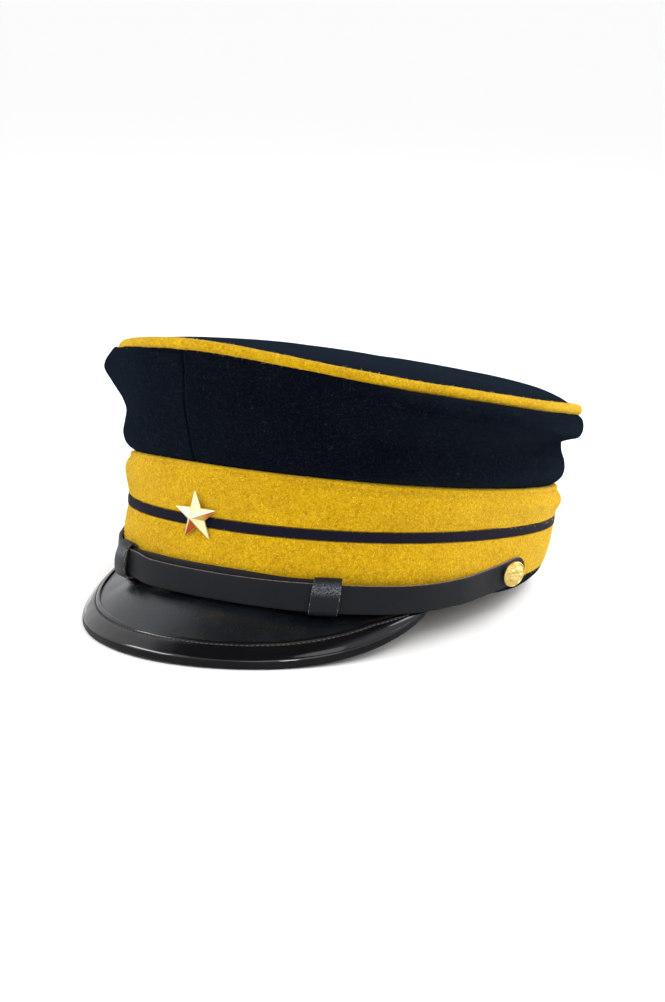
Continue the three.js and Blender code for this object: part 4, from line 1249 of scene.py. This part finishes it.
# from the rim round the back to the end of the shank: (distance from the middle, height)
BUTTON_BACK = [(5.84, 0.62), (5.84, 0.18), (5.72, 0.02), (5.1, 0.0), (1.5, 0.0), (1.5, -3.3), (0.0, -3.3)]
BUTTON_SEAT = {"behind": 1.0, "height": 8.6, "standoff": 3.8, "turn": 14.0, "nod": 12.0}


def button_height(radius, turn):
    """Height of the button's face above its back, in millimetres."""
    share = radius / BUTTON["radius"]
    height = BUTTON["rim"] + BUTTON["dome"] * np.clip(1 - (share / 0.88) ** 2, 0, 1) ** 0.8
    height = height + 0.42 * np.exp(-((share - 0.94) / 0.035) ** 2)
    petal = np.abs(np.cos(BUTTON["petals"] * turn / 2)) ** 0.7
    height = height + 0.50 * petal * ease(share, 0.16, 0.30) * (1 - ease(share, 0.50, 0.64))
    height = height + 0.40 * (1 - ease(share, 0.08, 0.16))
    return height + 0.18 * np.sin(28 * turn) * np.exp(-((share - 0.78) / 0.05) ** 2)


turn = np.linspace(0, 2 * np.pi, 168, endpoint=False)[:, None]
face_radius = BUTTON["radius"] * np.linspace(0, 1, 64)[None, :] ** 0.8
back_radius, back_height = columns_of(BUTTON_BACK)
radius = np.concatenate([face_radius, back_radius], axis=1)
rise = np.concatenate([button_height(face_radius, turn), np.repeat(back_height, len(turn), 0)], axis=1)
for side, sign in (("left", 1), ("right", -1)):
    facing = Vector((sign, 0, 0))
    facing.rotate(Matrix.Rotation(-sign * math.radians(BUTTON_SEAT["turn"]), 3, "Z"))
    facing.rotate(Matrix.Rotation(sign * math.radians(BUTTON_SEAT["nod"]), 3, "Y"))
    flat = Vector((0, 0, 1)).cross(facing).normalized()
    upright = facing.cross(flat)
    direction = math.radians(BUTTON_SEAT["behind"] if sign > 0 else 180 - BUTTON_SEAT["behind"])
    place = beside_band(direction, BUTTON_SEAT["standoff"], BUTTON_SEAT["height"])
    points = (place + rise[..., None] * np.array(facing)
              + (radius * np.cos(turn))[..., None] * np.array(flat)
              + (radius * np.sin(turn))[..., None] * np.array(upright))
    button = loft(f"brass_button_{side}", points, closed=False)
    wear(button, "brass", brass, instead_of=f"button_{side}")

# %% [markdown]
# ## The star
#
# The badge is a five-pointed star cast in relief. A ridge runs from its middle to each point
# and a valley to each notch, so each point has one face that catches the light and one in
# shade. The edges are worn a little round, which a small bevel gives.

# %% The star
STAR = {"tip": 11.5, "notch": 4.8, "rise": 4.2, "edge": 0.8}
STAR_SEAT = {"height": 28.6, "standoff": 1.4, "lean": 2.0, "nod": 7.0}
# two lower faces get the finishes of the painted reflection of the felt
PAINTED_REFLECTION_FACES = {5: 1, 2: 2}    # face, counted from the top point towards the wearer's left: finish
shape = bmesh.new()
corners = []
for index in range(10):
    turn = index * math.pi / 5
    reach = STAR["notch"] if index % 2 else STAR["tip"]
    corners.append((reach * math.sin(turn), reach * math.cos(turn)))
back = [shape.verts.new((x, 0, z)) for x, z in corners]
front = [shape.verts.new((x, -STAR["edge"], z)) for x, z in corners]
middle_point = shape.verts.new((0, -STAR["edge"] - STAR["rise"], 0))
shape.faces.new(back)
for index in range(10):
    following = (index + 1) % 10
    shape.faces.new((back[index], back[following], front[following], front[index]))
    face = shape.faces.new((front[index], front[following], middle_point))
    face.material_index = PAINTED_REFLECTION_FACES.get(index, 0)
bmesh.ops.recalc_face_normals(shape, faces=shape.faces)
bmesh.ops.bevel(shape, geom=list(shape.edges), offset=0.16, segments=2, profile=0.5,
                affect="EDGES", clamp_overlap=True)
reach_layer = shape.loops.layers.uv.new("strip_mm")
for face in shape.faces:
    for corner in face.loops:
        corner[reach_layer].uv = (math.hypot(corner.vert.co.x, corner.vert.co.z), 0)
turned_star = (Matrix.Rotation(math.radians(STAR_SEAT["nod"]), 3, "X")
               @ Matrix.Rotation(-math.radians(STAR_SEAT["lean"]), 3, "Y"))
star_place = Vector((0, -BAND_OVAL["half_length"] - STAR_SEAT["standoff"], STAR_SEAT["height"]))
for vert in shape.verts:
    vert.co = to_scene(turned_star @ vert.co + star_place)
mesh = bpy.data.meshes.new("gilt_star")
shape.to_mesh(mesh)
shape.free()
star = finish_mesh("gilt_star", mesh)
wear(star, "gilt_badge", gilt, gilt_painted_reflection, gilt_half_painted_reflection, instead_of="star_badge")

# %% [markdown]
# ## The floor
#
# The cap lies on a plain pale floor. It is one flat square, so large that its edge never
# shows.

# %% The floor
FLOOR_REACH = 30.0
corners = [(-FLOOR_REACH, -FLOOR_REACH, 0.0), (FLOOR_REACH, -FLOOR_REACH, 0.0),
           (FLOOR_REACH, FLOOR_REACH, 0.0), (-FLOOR_REACH, FLOOR_REACH, 0.0)]
floor_mesh = bpy.data.meshes.new("studio_floor")
floor_mesh.from_pydata(corners, [], [(0, 1, 2, 3)])
pale_floor = Finish("pale_floor", Base_Color=(0.955, 0.95, 0.94), Roughness=0.9, Specular_IOR_Level=0.1)
floor_mesh.materials.append(pale_floor.material)
show("studio_floor", floor_mesh)
print("floor ready")

# %% [markdown]
# ## The lights
#
# The room has white walls and a dark ceiling, so that the peak's top stays dark and its
# sides catch the walls. A small key light from the wearer's left and a box from the right
# draw the thin bright lines on the bead. A wide soft light in the same place as each fills
# the shadows, and an upright box behind lights the cap's edge.

# %% The lights
world = bpy.data.worlds.new("white_room")
bpy.context.scene.world = world
world.use_nodes = True
room = Nodes(world.node_tree)
background = room.tree.nodes["Background"].inputs
room.plug((0.988, 0.994, 1.0), background["Color"])
# white walls up to about 50 degrees, then a dark ceiling
upward = room.add("SeparateXYZ", "Z", Vector=room.add("TexCoord", "Generated"))
walls = room.span(upward, 0.76, 0.92, 1.0, 0.10, interpolation_type="SMOOTHSTEP")
room.plug(walls, background["Strength"])
CAP_MIDDLE = Vector((0.0, 0.0, 0.06))
LIGHT_DISTANCE = 1.2


def outward(azimuth, elevation):
    """A direction away from the cap: azimuth goes from the front towards the wearer's left."""
    azimuth, elevation = math.radians(azimuth), math.radians(elevation)
    level = Vector((math.sin(azimuth), -math.cos(azimuth), 0)) * math.cos(elevation)
    return level + Vector((0, 0, math.sin(elevation)))


def stand(thing, place, aim):
    """Puts a light or a camera in its place and points it."""
    thing.location = place
    thing.rotation_euler = (aim - place).to_track_quat("-Z", "Y").to_euler()


def add_light(name, kind, azimuth, elevation, energy, **shape):
    """A light that faces the cap, with its energy and its own measures."""
    data = bpy.data.lights.new(name, kind)
    data.energy = energy
    for measure, value in shape.items():
        setattr(data, measure, value)
    light = show(name, data)
    stand(light, CAP_MIDDLE + outward(azimuth, elevation) * LIGHT_DISTANCE, CAP_MIDDLE)


add_light("key", "SUN", 54, 38, 0.45, angle=math.radians(9))
add_light("key_wide", "SUN", 54, 38, 0.62, angle=math.radians(46))
add_light("front_wide", "SUN", -45, 36, 0.42, angle=math.radians(50))
add_light("front_box", "AREA", -45, 36, 7.0, shape="RECTANGLE", size=0.80, size_y=0.28)
add_light("box_right", "AREA", 146, 30, 17.0, shape="RECTANGLE", size=0.9, size_y=1.3)
print("lights ready")

# %% [markdown]
# ## The camera
#
# A cap is best shown from a metre away with a long lens, which keeps its proportions. The
# camera stands in front, to the wearer's left and a little above.

# %% The camera
VIEW = {"azimuth": 36.4, "elevation": 14.8, "distance": 1.10, "sensor": 36.0, "lens": 85.6}
AIM = {"above": 0.0367, "left": 0.0033}
target = Vector(to_scene([(0.0, 0.0, -8.5)])[0])
toward_camera = outward(VIEW["azimuth"], VIEW["elevation"])
camera_right = Vector((0, 0, 1)).cross(toward_camera).normalized()
camera_up = toward_camera.cross(camera_right)
camera_data = bpy.data.cameras.new("camera")
camera_data.sensor_width = VIEW["sensor"]
camera_data.lens = VIEW["lens"]
camera = show("camera", camera_data)
stand(camera, target + toward_camera * VIEW["distance"],
      target + camera_up * AIM["above"] - camera_right * AIM["left"])
bpy.context.scene.camera = camera
bpy.context.scene.view_settings.view_transform = "Standard"
print("camera at", [round(value, 3) for value in camera.location])
